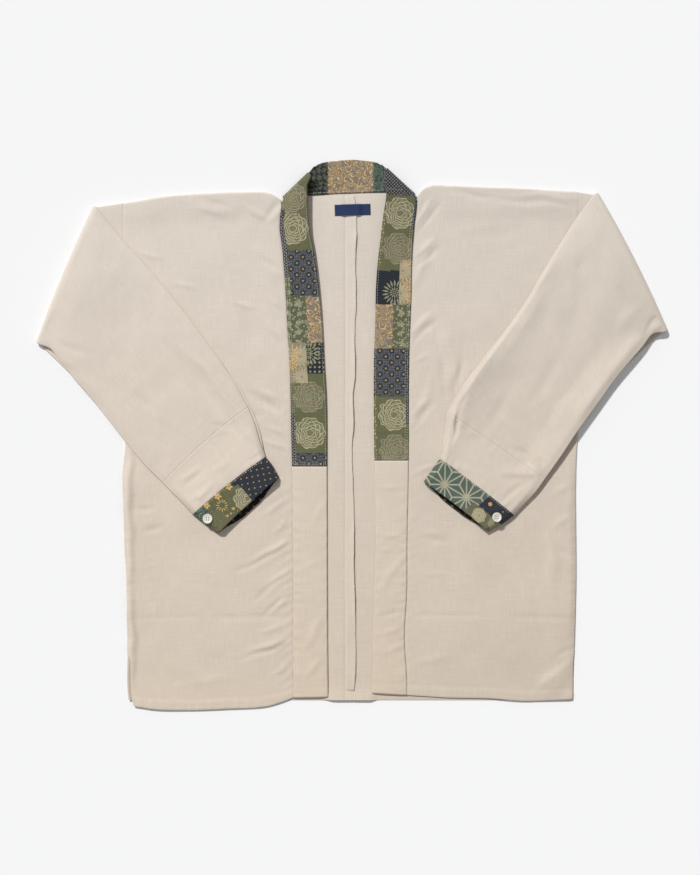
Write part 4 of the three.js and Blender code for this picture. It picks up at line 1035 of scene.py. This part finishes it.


def cloth_material(name, colour, slub_shade, roughness, sheen, pitch=1.0, bump=0.2, warming=0.6):
    """Plain-weave cotton: slubs and a faint mottle in the dye, matt with a soft nap."""
    material, tree = start_material(name)
    uv = add(tree, "UVMap", uv_map="cloth")
    height = threads(tree, uv, pitch)
    slub = add(tree, "MapRange", {"Value": height, "From Min": 0.86, "From Max": 1.28,
                                  "To Min": 0.0, "To Max": 1.0})
    tint = add(tree, "Mix", {0: slub, 6: paint(slub_shade), 7: paint(colour)}, out=2,
               data_type="RGBA")
    broad = add(tree, "TexNoise", {"Vector": uv, "Scale": 22.0, "Detail": 3.0})
    value = add(tree, "MapRange", {"Value": broad, "From Min": 0.3, "From Max": 0.7,
                                   "To Min": 1 - MOTTLE, "To Max": 1 + MOTTLE})
    # painted light and shade: the cloth is drawn paler towards the upper left and darker towards
    # the lower right
    there = add(tree, "TexCoord", out="Object")
    painted_light = add(tree, "VectorMath", (there, PAINTED_LIGHT_WAY), out="Value", operation="DOT_PRODUCT")
    value = add(tree, "Math", (value, painted_light), operation="ADD")
    # the cloth looks a little warmer towards the hem
    down = (0.0, -warming, 0.0)
    warmth = add(tree, "VectorMath", (there, down), out="Value", operation="DOT_PRODUCT")
    warmth = add(tree, "Math", (warmth, 0.96), operation="ADD")
    dyed = add(tree, "HueSaturation", {"Value": value, "Saturation": warmth, "Color": tint})
    close_material(tree, dyed, height, roughness, sheen, bump)
    return material


def close_material(tree, colour, height, roughness, sheen, bump):
    """Ends a cloth material with its shader."""
    raised = add(tree, "Bump", {"Strength": bump, "Distance": 0.4 * MM, "Height": height})
    shader = add(tree, "BsdfPrincipled", {
        "Base Color": colour, "Roughness": roughness, "Sheen Weight": sheen,
        "Sheen Roughness": 0.5, "Specular IOR Level": 0.25, "Normal": raised})
    add(tree, "OutputMaterial", (shader,))


def radius_of(tree, point):
    """Distance of a place from its centre."""
    return add(tree, "VectorMath", (point,), out="Value", operation="LENGTH")


def axes_of(tree, point):
    """The x and the y of a place."""
    return add(tree, "SeparateXYZ", (point,)).node.outputs[:2]


def angle_of(tree, point):
    """Angle of a place about its centre."""
    x, y = axes_of(tree, point)
    return add(tree, "Math", (y, x), operation="ARCTAN2")


def within(tree, value, low, high):
    """1 where a value lies between two limits."""
    above = add(tree, "Math", (value, low), operation="GREATER_THAN")
    below = add(tree, "Math", (value, high), operation="LESS_THAN")
    return add(tree, "Math", (above, below), operation="MULTIPLY")


def wavering(tree, point, sway, scale):
    """Shifts a pattern unevenly, as a hand-cut stencil would."""
    field = add(tree, "TexNoise", {"Vector": point, "Scale": scale, "Detail": 1.0}, out="Color")
    push = add(tree, "VectorMath", (field, (0.5, 0.5, 0.5)), operation="SUBTRACT")
    push = add(tree, "VectorMath", (push, (2 * sway, 2 * sway, 0.0)), operation="MULTIPLY")
    return add(tree, "VectorMath", (point, push), operation="ADD")


def lobes(tree, angle, petals, turned=0.0):
    """Rounded lobes about a centre: 1 in the middle of each petal, 0 between two."""
    swing = add(tree, "Math", (angle, petals / 2, turned), operation="MULTIPLY_ADD")
    wave = add(tree, "Math", (swing,), operation="COSINE")
    return add(tree, "Math", (wave,), operation="ABSOLUTE")


def petal_rings(tree, point, size, petals):
    """Distance inside each ring of petals of a full flower, outermost first."""
    swayed = wavering(tree, point, 3.0, 0.13)
    radius = radius_of(tree, swayed)
    angle = angle_of(tree, swayed)
    rings = []
    for k in range(6):
        reach = size * (1 - 0.145 * k)
        lobe = lobes(tree, angle, petals - k, 1.9 * k)
        outline = add(tree, "Math", (lobe, 0.13 * reach, 0.89 * reach), operation="MULTIPLY_ADD")
        rings.append(add(tree, "Math", (outline, radius), operation="SUBTRACT"))
    return rings


def ring_lines(tree, rings, first, others, wide):
    """Lines of one width inside the outermost ring of petals and inside the others."""
    total = within(tree, rings[0], first, first + wide)
    for ring in rings[1:]:
        line = within(tree, ring, others, others + wide)
        total = add(tree, "Math", (total, line), operation="MAXIMUM")
    return total


def full_flower(tree, point, size=21.0, petals=10):
    """The whole shape of a full flower."""
    outline = petal_rings(tree, point, size, petals)[0]
    return add(tree, "Math", (outline, 0.0), operation="GREATER_THAN")


def flower_lines(tree, point, size=21.0, petals=10, line=1.5):
    """Pale lines along every ring of petals."""
    return ring_lines(tree, petal_rings(tree, point, size, petals), 0.0, 0.0, line)


def flower_shade(tree, point, size=21.0, petals=10):
    """Dark marks under every ring of petals, broken into dashes."""
    marks = ring_lines(tree, petal_rings(tree, point, size, petals), 1.7, 1.6, 0.9)
    breaks = add(tree, "TexNoise", {"Vector": point, "Scale": 0.35, "Detail": 0.0})
    return add(tree, "Math", (marks, within(tree, breaks, 0.46, 2.0)), operation="MULTIPLY")


def disc(tree, point, size):
    """A plain round spot."""
    return add(tree, "Math", (radius_of(tree, point), size), operation="LESS_THAN")


def blossom(tree, point, size):
    """A small flower of five rounded petals, open in the middle."""
    radius = radius_of(tree, point)
    lobe = lobes(tree, angle_of(tree, point), 5)
    rounded = add(tree, "Math", (lobe, 0.4), operation="POWER")
    reach = add(tree, "Math", (rounded, size), operation="MULTIPLY")
    petal = add(tree, "Math", (radius, reach), operation="LESS_THAN")
    ring = within(tree, radius, size * 0.16, size)
    return add(tree, "Math", (petal, ring), operation="MULTIPLY")


def petals_round(tree, point, count, inner, outer, width, turn=0.0):
    """Pointed petals that spread from a centre."""
    radius = radius_of(tree, point)
    angle = angle_of(tree, point)
    per_turn = count / (2 * math.pi)
    turns = add(tree, "Math", (angle, per_turn, 50.0 + turn), operation="MULTIPLY_ADD")
    near = add(tree, "Math", (turns, 0.5), operation="PINGPONG")
    off_axis = add(tree, "Math", (near, radius), operation="MULTIPLY")
    share = add(tree, "MapRange", {"Value": radius, "From Min": inner, "From Max": outer,
                                   "To Min": 0.0, "To Max": math.pi})
    lens = add(tree, "Math", (share,), operation="SINE")
    lens = add(tree, "Math", (lens, width * per_turn / 2), operation="MULTIPLY")
    return add(tree, "Math", (off_axis, lens), operation="LESS_THAN")


def firework(tree, point):
    """Two rings of petals round a small ring."""
    near = petals_round(tree, point, 12, 2.4, 8.0, 1.7)
    far = petals_round(tree, point, 18, 7.6, 17.0, 2.4, 0.5)
    eye = within(tree, radius_of(tree, point), 1.0, 1.9)
    petals = add(tree, "Math", (near, far), operation="MAXIMUM")
    return add(tree, "Math", (petals, eye), operation="MAXIMUM")


def cell(tree, point, pitch):
    """Place inside each square of a lattice, about its middle, in mm."""
    share = add(tree, "VectorMath", {0: point, "Scale": 1 / pitch}, operation="SCALE")
    part = add(tree, "VectorMath", (share,), operation="FRACTION")
    middle = add(tree, "VectorMath", (part, (0.5, 0.5, 0.0)), operation="SUBTRACT")
    return add(tree, "VectorMath", (middle, (pitch, pitch, 0.0)), operation="MULTIPLY")


def lattice_dots(tree, point, pitch, size, petals=0):
    """A dot, or a small flower, in each square of a lattice."""
    middle = cell(tree, point, pitch)
    radius = radius_of(tree, middle)
    if petals:
        lobe = lobes(tree, angle_of(tree, middle), petals)
        stretch = add(tree, "Math", (lobe, 0.6, 0.4), operation="MULTIPLY_ADD")
        radius = add(tree, "Math", (radius, stretch), operation="DIVIDE")
    return add(tree, "Math", (radius, size), operation="LESS_THAN")


def small_flowers(tree, point, pitch, size):
    """Scattered five-petal flowers."""
    return lattice_dots(tree, wavering(tree, point, 6.0, 0.05), pitch, size, 5)


def fret(tree, point):
    """Close fretwork, from crossed broken lines 1.5 mm apart."""
    waves = []
    for axis in axes_of(tree, wavering(tree, point, 1.4, 0.3)):
        run = add(tree, "Math", (axis, math.pi / 1.5), operation="MULTIPLY")
        waves.append(add(tree, "Math", (run,), operation="SINE"))
    crossed = add(tree, "Math", waves, operation="MULTIPLY")
    return add(tree, "Math", (crossed, -0.02), operation="GREATER_THAN")


def scrolls(tree, point, size, line):
    """Scrolling lines, from the contours of a slow field."""
    field = add(tree, "TexNoise", {"Vector": point, "Scale": 1 / size, "Detail": 1.0,
                                   "Distortion": 1.2})
    steps = add(tree, "Math", (field, 9.0), operation="MULTIPLY")
    near = add(tree, "Math", (steps, 0.5), operation="PINGPONG")
    return add(tree, "Math", (near, line), operation="LESS_THAN")


def hemp_leaf(tree, point, side, line):
    """Hemp-leaf lattice: triangles, each with a line from its middle to every corner."""
    height = side * math.sqrt(3) / 2
    parts = []
    for k in range(3):
        angle = math.radians(90 + 120 * k)
        way = (math.cos(angle) / height, math.sin(angle) / height, 0.0)
        along = add(tree, "VectorMath", (point, way), out="Value", operation="DOT_PRODUCT")
        parts.append(add(tree, "Math", (along,), operation="FRACT"))

    def all_three(values, operation):
        pair = add(tree, "Math", values[:2], operation=operation)
        return add(tree, "Math", (pair, values[2]), operation=operation)

    # every second triangle points the other way
    flipped = add(tree, "Math", (all_three(parts, "ADD"), 1.5), operation="GREATER_THAN")
    shares = []
    for part in parts:
        other = add(tree, "Math", (1.0, part), operation="SUBTRACT")
        shares.append(add(tree, "Mix", {0: flipped, 2: part, 3: other}))
    low = all_three(shares, "MINIMUM")
    high = all_three(shares, "MAXIMUM")
    from_corner = add(tree, "Math", (1.0, high), operation="SUBTRACT")
    twice_low = add(tree, "Math", (low, 2.0), operation="MULTIPLY")
    spoke = add(tree, "Math", (from_corner, twice_low), operation="SUBTRACT")
    edge_line = add(tree, "Math", (low, line / height / 2), operation="LESS_THAN")
    spoke_line = add(tree, "Math", (spoke, line / height), operation="LESS_THAN")
    return add(tree, "Math", (edge_line, spoke_line), operation="MAXIMUM")


def layer(shade, motif, x, y, *sizes, turn=0.0):
    """One colour of a print: a motif about a place on the garment, to draw in any material."""
    return paint(shade), lambda tree: motif(tree, local_mm(tree, (x, y), turn), *sizes)


def printed(name, ground, layers):
    """Printed cotton: a ground colour and motifs over it, worn slightly uneven by a fine weave."""
    material, tree = start_material(name)
    uv = add(tree, "UVMap", uv_map="cloth")
    height = threads(tree, uv, 0.9)
    fade = add(tree, "TexNoise", {"Vector": uv, "Scale": 900.0, "Detail": 2.0})
    worn = add(tree, "MapRange", {"Value": fade, "From Min": 0.3, "From Max": 0.6,
                                  "To Min": 0.55, "To Max": 1.0})
    colour = paint(ground)
    for shade, draw in layers:
        mask = add(tree, "Math", (draw(tree), worn), operation="MULTIPLY")
        colour = add(tree, "Mix", {0: mask, 6: colour, 7: shade}, out=2, data_type="RGBA")
    value = add(tree, "MapRange", {"Value": height, "From Min": 0.8, "From Max": 1.3,
                                   "To Min": 0.82, "To Max": 1.15})
    dyed = add(tree, "HueSaturation", {"Value": value, "Color": colour})
    close_material(tree, dyed, height, roughness=0.85, sheen=0.15, bump=0.2)
    return material


# Dyes
OLIVE, MOSS, NAVY, TEAL = "646549", "5f6148", "262b33", "3d4f4a"
CREAM, DULL, GOLD, TAN = "b6ae90", "989074", "e3b36a", "82786b"
BLUE_GREY, PALE_GREEN = "6f7275", "969679"
SAND_RAY, DEEP_TAN, NAVY_FRET = "b3a88a", "a08a68", "373b44"
DIAGONAL = math.pi / 4


def full_flower_layers(x, y, shade, petal, *sizes):
    """A full flower: its darker ground, its pale outlines and the marks under them."""
    return [layer(shade, full_flower, x, y, *sizes), layer(petal, flower_lines, x, y, *sizes),
            layer(MOSS, flower_shade, x, y, *sizes)]


def flower_print(name, x, y, petal, shade, eye):
    """Olive cotton with one full flower."""
    layers = full_flower_layers(x, y, shade, petal)
    return printed(name, OLIVE, [*layers, layer(eye, disc, x, y, 4.0)])


def fret_print(name, x, y):
    """Navy cotton with close blue-grey fretwork round staggered tan diamonds."""
    return printed(name, NAVY, [
        layer(BLUE_GREY, fret, 0, 0, turn=DIAGONAL),
        layer("1c2027", lattice_dots, x, y, 11.0, 3.6, turn=DIAGONAL),
        layer(DEEP_TAN, lattice_dots, x, y, 11.0, 1.6, turn=DIAGONAL)])


def ray_print(name, pale, golden):
    """Tan cotton with pale rays, and finer golden ones over them. Rows are x, y, reach, width."""
    layers = [layer(SAND_RAY, petals_round, x, y, 16, 1, reach, wide) for x, y, reach, wide in pale]
    layers += [layer(GOLD, petals_round, x, y, 9, 1, reach, wide) for x, y, reach, wide in golden]
    return printed(name, "8f8570", layers)


def collar_finishes():
    """A finish for each patch of the collar, by name."""
    bright = (CREAM, "7d7c5f", "77765c")
    muted = (DULL, "797460", "808a66")
    flowers = {"rosette_low_right": (-56.5, 2.1, bright), "mum_low_right": (-57.8, 49.6, muted),
               "rosette_high_right": (-79, 271, bright), "mum_high_right": (-81.6, 312.3, muted),
               "mum_low_left": (55.7, -20.3, muted), "rosette_low_left": (54.4, 25.9, bright),
               "mum_high_left": (59.7, 245, muted), "rosette_high_left": (62.3, 291.2, bright)}
    finishes = {}
    for name, (x, y, shades) in flowers.items():
        finishes[name] = flower_print(f"olive_cotton_{name}", x, y, *shades)
    finishes["navy_fretwork"] = fret_print("navy_fretwork_cotton", -73.5, 187)
    finishes["navy_fretwork_left"] = fret_print("navy_fretwork_cotton_left", 43.5, 95)
    # navy with a close lattice of pale dots and a wider one of brown
    finishes["navy_dots"] = printed("navy_dotted_cotton", "2f333c", [
        layer("95948c", lattice_dots, 0, 0, 3.1, 0.85, turn=DIAGONAL),
        layer("5f5040", lattice_dots, 0, 3, 12.0, 1.9, turn=DIAGONAL)])
    # moss green strewn with pale flowers of two sizes
    finishes["green_blossom"] = printed("green_blossom_cotton", MOSS, [
        layer("9a9a7e", small_flowers, 3, 5, 13.5, 4.6),
        layer("94957a", small_flowers, 8, 0, 9.4, 2.2, turn=0.6),
        layer("b9b79c", lattice_dots, 8, 0, 7.7, 0.9, turn=0.3)])
    # tan covered with golden scrolls
    finishes["tan_arabesque"] = printed("tan_scroll_cotton", TAN, [
        layer("e3b977", scrolls, 0, 0, 16.0, 0.12)])
    finishes["tan_rays_right"] = ray_print(
        "tan_ray_cotton",
        pale=[(-69, 103, 16, 3.2), (-67, 76, 14, 2.8)],
        golden=[(-81, 108, 13, 1.5), (-80, 92, 9, 1.3)])
    finishes["tan_rays_left"] = ray_print(
        "tan_ray_cotton_left",
        pale=[(66, 216, 16, 3.2), (63, 186, 16, 3.0)],
        golden=[(74, 198, 10, 1.5), (72, 228, 7, 1.3), (75, 180, 8, 1.3)])
    # navy with one pale-green burst of petals
    finishes["firework_right"] = printed("navy_firework_cotton", NAVY, [
        layer(PALE_GREEN, firework, -58.9, 106.9),
        layer(PALE_GREEN, lattice_dots, -53, 86, 6.0, 1.5)])
    finishes["firework_left"] = printed("navy_firework_cotton_left", NAVY, [
        layer(PALE_GREEN, firework, 55.2, 187)])
    # the neck's dark patch with dull green flowers, and its teal one with paler scrolls
    finishes["navy_floral"] = printed("navy_floral_cotton", "1d2126", [
        layer("5a5d4c", small_flowers, 0, 0, 8.0, 3.6),
        layer("54574a", scrolls, 0, 0, 14.0, 0.1)])
    finishes["teal_floral"] = printed("teal_floral_cotton", TEAL, [
        layer("7c877b", scrolls, 5, 0, 12.0, 0.13)])
    # narrow strips at the collar's edges
    finishes["olive_border"] = printed("olive_border_cotton", MOSS, [
        layer("96987a", small_flowers, 0, 0, 8.0, 3.4)])
    finishes["gold_border"] = printed("olive_cotton_gold_bits", OLIVE, [
        layer(GOLD, lattice_dots, 0, 0, 5.2, 0.9, turn=0.3)])
    return finishes


def cuff_finishes():
    """A finish for each patch of the cuffs, by name."""
    finishes = {}
    # navy with a faint fret and small gold dots
    finishes["navy_gold_dots"] = printed("navy_gold_dotted_cotton", NAVY, [
        layer(NAVY_FRET, fret, 0, 0),
        layer("c4a270", lattice_dots, 0, 0, 7.6, 0.9, turn=math.radians(12))])
    finishes["cuff_flower"] = printed(
        "olive_flower_cuff_cotton", OLIVE, full_flower_layers(-138, -84, "7d7c5f", CREAM, 18.0))
    # moss green with golden flowers down its middle
    blossoms = [(-162.8, -68.6, 4.4), (-177.5, -81.2, 4.6), (-191.8, -93.3, 4.4),
                (-156.7, -97.1, 2.2), (-165.4, -107.3, 2.6), (-160.0, -103.5, 1.4)]
    finishes["green_gold"] = printed("green_gold_flower_cotton", MOSS, [
        *[layer(GOLD, blossom, *place) for place in blossoms],
        layer(GOLD, petals_round, -171.6, -92.9, 12, 3.5, 8.5, 1.3),
        layer("b9a166", lattice_dots, 1, 2, 6.3, 0.6, turn=0.4)])
    finishes["brown_green"] = printed("brown_green_cotton", "67654b", [
        layer("7d7a5c", scrolls, 0, 0, 10.0, 0.1)])
    finishes["teal_floral"] = printed("teal_floral_cuff_cotton", TEAL, [
        layer("8a947e", scrolls, 5, 0, 12.0, 0.13)])
    # grey teal with one large pale hemp leaf along the cuff
    finishes["teal_hemp_leaf"] = printed("teal_hemp_leaf_cotton", "55645d", [
        layer("b3ae95", hemp_leaf, 120.8, -65.6, 33.0, 1.8, turn=math.radians(-31))])
    # the left cuff's lower patches: navy with a golden flower, olive with two pale ones
    finishes["navy_one_flower"] = printed("navy_one_flower_cotton", NAVY, [
        layer(NAVY_FRET, fret, 0, 0),
        layer(GOLD, blossom, 180.4, -91.3, 3.0),
        layer(DEEP_TAN, disc, 197.0, -101.5, 1.1),
        layer(BLUE_GREY, disc, 171.0, -97.0, 1.0)])
    finishes["olive_floral"] = printed("olive_floral_cuff_cotton", "6a6a50", [
        layer("8f8d6e", full_flower, 165.7, -106.1, 9.5, 6),
        layer(CREAM, flower_lines, 165.7, -106.1, 9.5, 6, 1.2),
        layer("858365", full_flower, 186.0, -117.5, 8.5, 6),
        layer(DULL, flower_lines, 186.0, -117.5, 8.5, 6, 0.9)])
    return finishes


def button_material():
    """Pearl button: pale, glossy, with a faint cloud of colour."""
    material, tree = start_material("pearl_button_shell")
    there = add(tree, "TexCoord", out="Object")
    cloud = add(tree, "TexNoise", {"Vector": there, "Scale": 160.0, "Detail": 3.0})
    colour = add(tree, "Mix", {0: cloud, 6: paint("d9d3c6"), 7: paint("f2f0ea")}, out=2,
                 data_type="RGBA")
    shader = add(tree, "BsdfPrincipled", {"Base Color": colour, "Roughness": 0.28,
                                          "Coat Weight": 0.3, "IOR": 1.53})
    add(tree, "OutputMaterial", (shader,))
    return material


def stitches(name, surface, lines, material):
    """Rows of stitches laid on a piece along plan lines, each a small faceted capsule."""
    tree = BVHTree.FromObject(surface, bpy.context.evaluated_depsgraph_get())
    bm = bmesh.new()
    half = STITCH_LONG / 2

    def drop(line, run, at):
        x = np.interp(at, run, line[:, 0]) + SHIFT[0]
        y = np.interp(at, run, line[:, 1]) + SHIFT[1]
        start = Vector((x * MM, y * MM, STITCH_DROP_FROM * MM))
        return tree.ray_cast(start, Vector((0, 0, -1)))[0]

    for line in lines:
        steps = np.hypot(*np.diff(line, axis=0).T)
        run = np.concatenate([[0], np.cumsum(steps)])
        for middle in np.arange(half, run[-1] - half, STITCH_LONG + STITCH_GAP):
            first = drop(line, run, middle - half)
            last = drop(line, run, middle + half)
            if first is None or last is None or abs(first.z - last.z) > STITCH_LONG * MM:
                continue
            way = last - first
            if way.length < 0.1 * MM:
                continue
            turn = way.to_track_quat("X", "Z").to_matrix().to_4x4()
            centre = (first + last) / 2 + Vector((0, 0, STITCH_LIFT * MM))
            wide = STITCH_WIDE * MM / 2
            shape = Matrix.Diagonal((way.length / 2, wide, wide * STITCH_FLAT, 1))
            bmesh.ops.create_icosphere(bm, subdivisions=1, radius=1.0,
                                       matrix=Matrix.Translation(centre) @ turn @ shape)
    piece = to_piece(bm, name)
    piece.data.materials.append(material)
    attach(piece, "root")


def edge_line(table, low, high, inset):
    """A line that follows a (y, x) table, moved sideways."""
    ys = np.arange(low, high, LINE_STEP)
    return np.stack([curve(table, ys) + inset, ys], axis=1)


def level_line(table, low, high, inset, step=LINE_STEP):
    """A line that follows an (x, y) table, moved up."""
    xs = np.arange(low, high, step)
    return np.stack([xs, curve(table, xs) + inset], axis=1)


def build():
    """Makes every piece and its stitching."""
    # pale sand cotton, matt with slubs both ways, and the same sewn double, a little warmer
    cotton = cloth_material("sand_slub_cotton", "d8ccc0", "cfc3b5", 0.9, 0.2)
    band_cotton = cloth_material("sand_slub_cotton_doubled", "d9cdbf", "d1c4b4", 0.9, 0.2)
    # sewing thread, a shade lighter than the cloth, and a greenish one that shows on the collar
    thread = cloth_material("sand_cotton_thread", "e6dfd4", "d8cfc2", 0.8, 0.1, pitch=0.4)
    pale_thread = cloth_material("pale_collar_thread", "c9c8ba", "b2b2a2", 0.8, 0.1, pitch=0.4)
    # dense navy weave of the label
    navy_tape = cloth_material("navy_woven_tape", "20355f", "1a2b50", 0.75, 0.2, pitch=0.5,
                               bump=0.4, warming=0.0)
    # inside of the cuffs with brown dots, its ground painted nearly black as painted shade inside
    # the cuff's mouth
    lining = printed("cuff_lining_painted_shade", "15171a", [layer("8a6434", lattice_dots, 0, 0, 9.0, 1.7)])
    collar_print = collar_finishes()
    cuff_print = cuff_finishes()
    shell = button_material()
    pieces = {}
    for half in ("right", "left"):
        pieces[f"body_{half}"] = finish_piece(
            body_half(half), CLOTH, [cotton], f"body_{half}")
        pieces[f"band_{half}"] = finish_piece(
            front_band(half), DOUBLED, [band_cotton], f"front_band_{half}")
        pieces[f"sleeve_{half}"] = finish_piece(
            build_sleeve(half), CLOTH, [cotton], f"sleeve_{half}")
        pieces[f"forearm_{half}"] = finish_piece(
            build_forearm(half), CLOTH, [cotton], f"forearm_{half}")
        pieces[f"cuff_{half}"] = build_cuff(half, cuff_print, lining)
        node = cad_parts[f"cuff_button_{half}"]
        node.data.materials.clear()
        node.data.materials.append(shell)
    pieces["collar"] = build_collar(collar_print)
    pieces["allowance"] = finish_piece(
        seam_allowance(), CLOTH, [cotton], "centre_back_seam_allowance")
    pieces["label"] = finish_piece(
        neck_label(), LABEL["thick"], [navy_tape], "neck_label")
    for half, inwards in (("right", 1), ("left", -1)):
        sew_front(half, inwards, pieces, thread, pale_thread)
    for half, inwards in (("right", 1), ("left", -1)):
        sew_arm(half, inwards, pieces, thread, pale_thread)
    sew_neck(pieces, thread, pale_thread)


def sew_front(half, inwards, pieces, thread, pale_thread):
    """Topstitching along the seams, hems and edges of one front."""
    low = BAND_HEM[half][0]
    end = COLLAR_END_Y[half]
    band_lines = [edge_line(SEAM[half], low + 2, end - 2, inwards * BAND_INSETS[0]),
                  edge_line(FREE_EDGE[half], low + 3, end - 2, -inwards * BAND_INSETS[1])]
    band = pieces[f"band_{half}"]
    stitches(f"noragi_band_stitches_{half}", band, band_lines, thread)

    side_x = float(curve(SIDE[half], BACK_HEM_Y))
    seam_x = float(curve(SEAM[half], BACK_HEM_Y))
    low_x, high_x = sorted((side_x, seam_x))
    hem = level_line(HEM[half], low_x + 2, high_x - 2, HEM_DEEP)
    body = pieces[f"body_{half}"]
    stitches(f"noragi_hem_stitches_{half}", body, [hem], thread)

    collar_lines = [edge_line(SEAM[half], end + 2, 290, inwards * inset) for inset in COLLAR_INSETS]
    for inset in COLLAR_INSETS:
        y = end + inset
        seam_x = float(curve(SEAM[half], y)) + inwards * 3
        free_x = float(curve(FREE_EDGE[half], y)) - inwards * 2
        xs = np.linspace(seam_x, free_x, 12)
        collar_lines.append(np.stack([xs, np.full_like(xs, y)], axis=1))
    collar_lines.append(edge_line(FREE_EDGE[half], end + 2, 310, -inwards * COLLAR_FREE_INSET))
    name = f"noragi_collar_stitches_{half}"
    stitches(name, pieces["collar"], collar_lines, pale_thread)


def rim_line(chord, inset, way, bow):
    """A line beside a chord of a sleeve, moved along the arm and bowed with it."""
    top_x, top_y, under_x, under_y = chord
    u = np.linspace(0.06, 0.94, 24)
    shift = inset - 4 * bow * u * (1 - u)
    x = mix(top_x, under_x, u) + way[0] * shift
    y = mix(top_y, under_y, u) + way[1] * shift
    return np.stack([x, y], axis=1)


def sew_arm(half, inwards, pieces, thread, pale_thread):
    """Stitching beside one sleeve's cuff seam, its join and its armhole."""
    shape = Sleeve(half)
    data = shape.data
    way = (shape.along_x, shape.along_y)
    seam = rim_line(data["cuff"][0], CUFF_INSET, way, data["cuff_bow"])
    cuff = pieces[f"cuff_{half}"]
    stitches(f"noragi_cuff_stitches_{half}", cuff, [seam], pale_thread)
    join = rim_line(data["forearm"][0], JOIN_INSET, way, data["bow"])
    forearm = pieces[f"forearm_{half}"]
    stitches(f"noragi_join_stitches_{half}", forearm, [join], thread)
    x = float(curve(SIDE[half], ARMHOLE_LOW_Y)) + inwards * ARMHOLE_INSET
    top_y = float(curve(SHOULDER[half], x)) - 2
    armhole = np.array([(x, ARMHOLE_LOW_Y), (x, top_y)])
    body = pieces[f"body_{half}"]
    stitches(f"noragi_armhole_stitches_{half}", body, [armhole], thread)


def sew_neck(pieces, thread, pale_thread):
    """Stitching along the neckline and the seam allowance."""
    low_x, high_x = MITRE["right"][0] + 14, MITRE["left"][0] - 12
    neck = level_line(NECKLINE, low_x, high_x, NECK_INSET, step=3.0)
    stitches("noragi_neck_stitches", pieces["collar"], [neck], pale_thread)
    low_y, high_y = ALLOWANCE_EDGE[-1][0] + 3, ALLOWANCE_EDGE[0][0] - 3
    edge = edge_line(ALLOWANCE_EDGE, low_y, high_y, -ALLOWANCE_INSET)
    stitches("noragi_allowance_stitches", pieces["allowance"], [edge], thread)


def lay_floor():
    """Matt, nearly white paper under the garment."""
    bm = bmesh.new()
    bmesh.ops.create_grid(bm, x_segments=8, y_segments=8, size=FLOOR_REACH)
    bmesh.ops.translate(bm, verts=bm.verts, vec=(0, 0, -FLOOR_DROP))
    floor = to_piece(bm, "floor")
    material, tree = start_material("matt_paper_floor")
    shader = add(tree, "BsdfPrincipled", {"Base Color": paint("f2f3f5"), "Roughness": 0.95,
                                          "Specular IOR Level": 0.1})
    add(tree, "OutputMaterial", (shader,))
    floor.data.materials.append(material)


def light():
    """Even white light from all round and a soft sun from the upper left."""
    world = bpy.context.scene.world or bpy.data.worlds.new("studio")
    bpy.context.scene.world = world
    world.use_nodes = True
    background = world.node_tree.nodes["Background"]
    background.inputs["Color"].default_value = (1.0, 1.0, 1.0, 1.0)
    background.inputs["Strength"].default_value = SKY_POWER

    lamp = bpy.data.lights.new("key_light", "SUN")
    lamp.energy = LAMP_POWER
    lamp.angle = math.radians(LAMP_WIDE)
    lamp.color = (1.0, 0.99, 0.97)
    key = bpy.data.objects.new("key_light", lamp)
    high = math.radians(LAMP_HIGH)
    towards = Vector((LAMP_WAY[0] * math.cos(high), LAMP_WAY[1] * math.cos(high), -math.sin(high)))
    key.rotation_euler = towards.to_track_quat("-Z", "Y").to_euler()
    bpy.context.collection.objects.link(key)


def look_down():
    """A camera straight above, from far enough to show little perspective."""
    lens = bpy.data.cameras.new("view_from_above")
    lens.sensor_fit = "HORIZONTAL"
    lens.sensor_width = SENSOR_WIDE
    lens.lens = SENSOR_WIDE * CAMERA_OVER[2] / PICTURE_WIDE
    camera = bpy.data.objects.new("view_from_above", lens)
    camera.location = CAMERA_OVER
    bpy.context.collection.objects.link(camera)
    bpy.context.scene.camera = camera
    bpy.context.scene.view_settings.view_transform = "Standard"


build()
lay_floor()
light()
look_down()
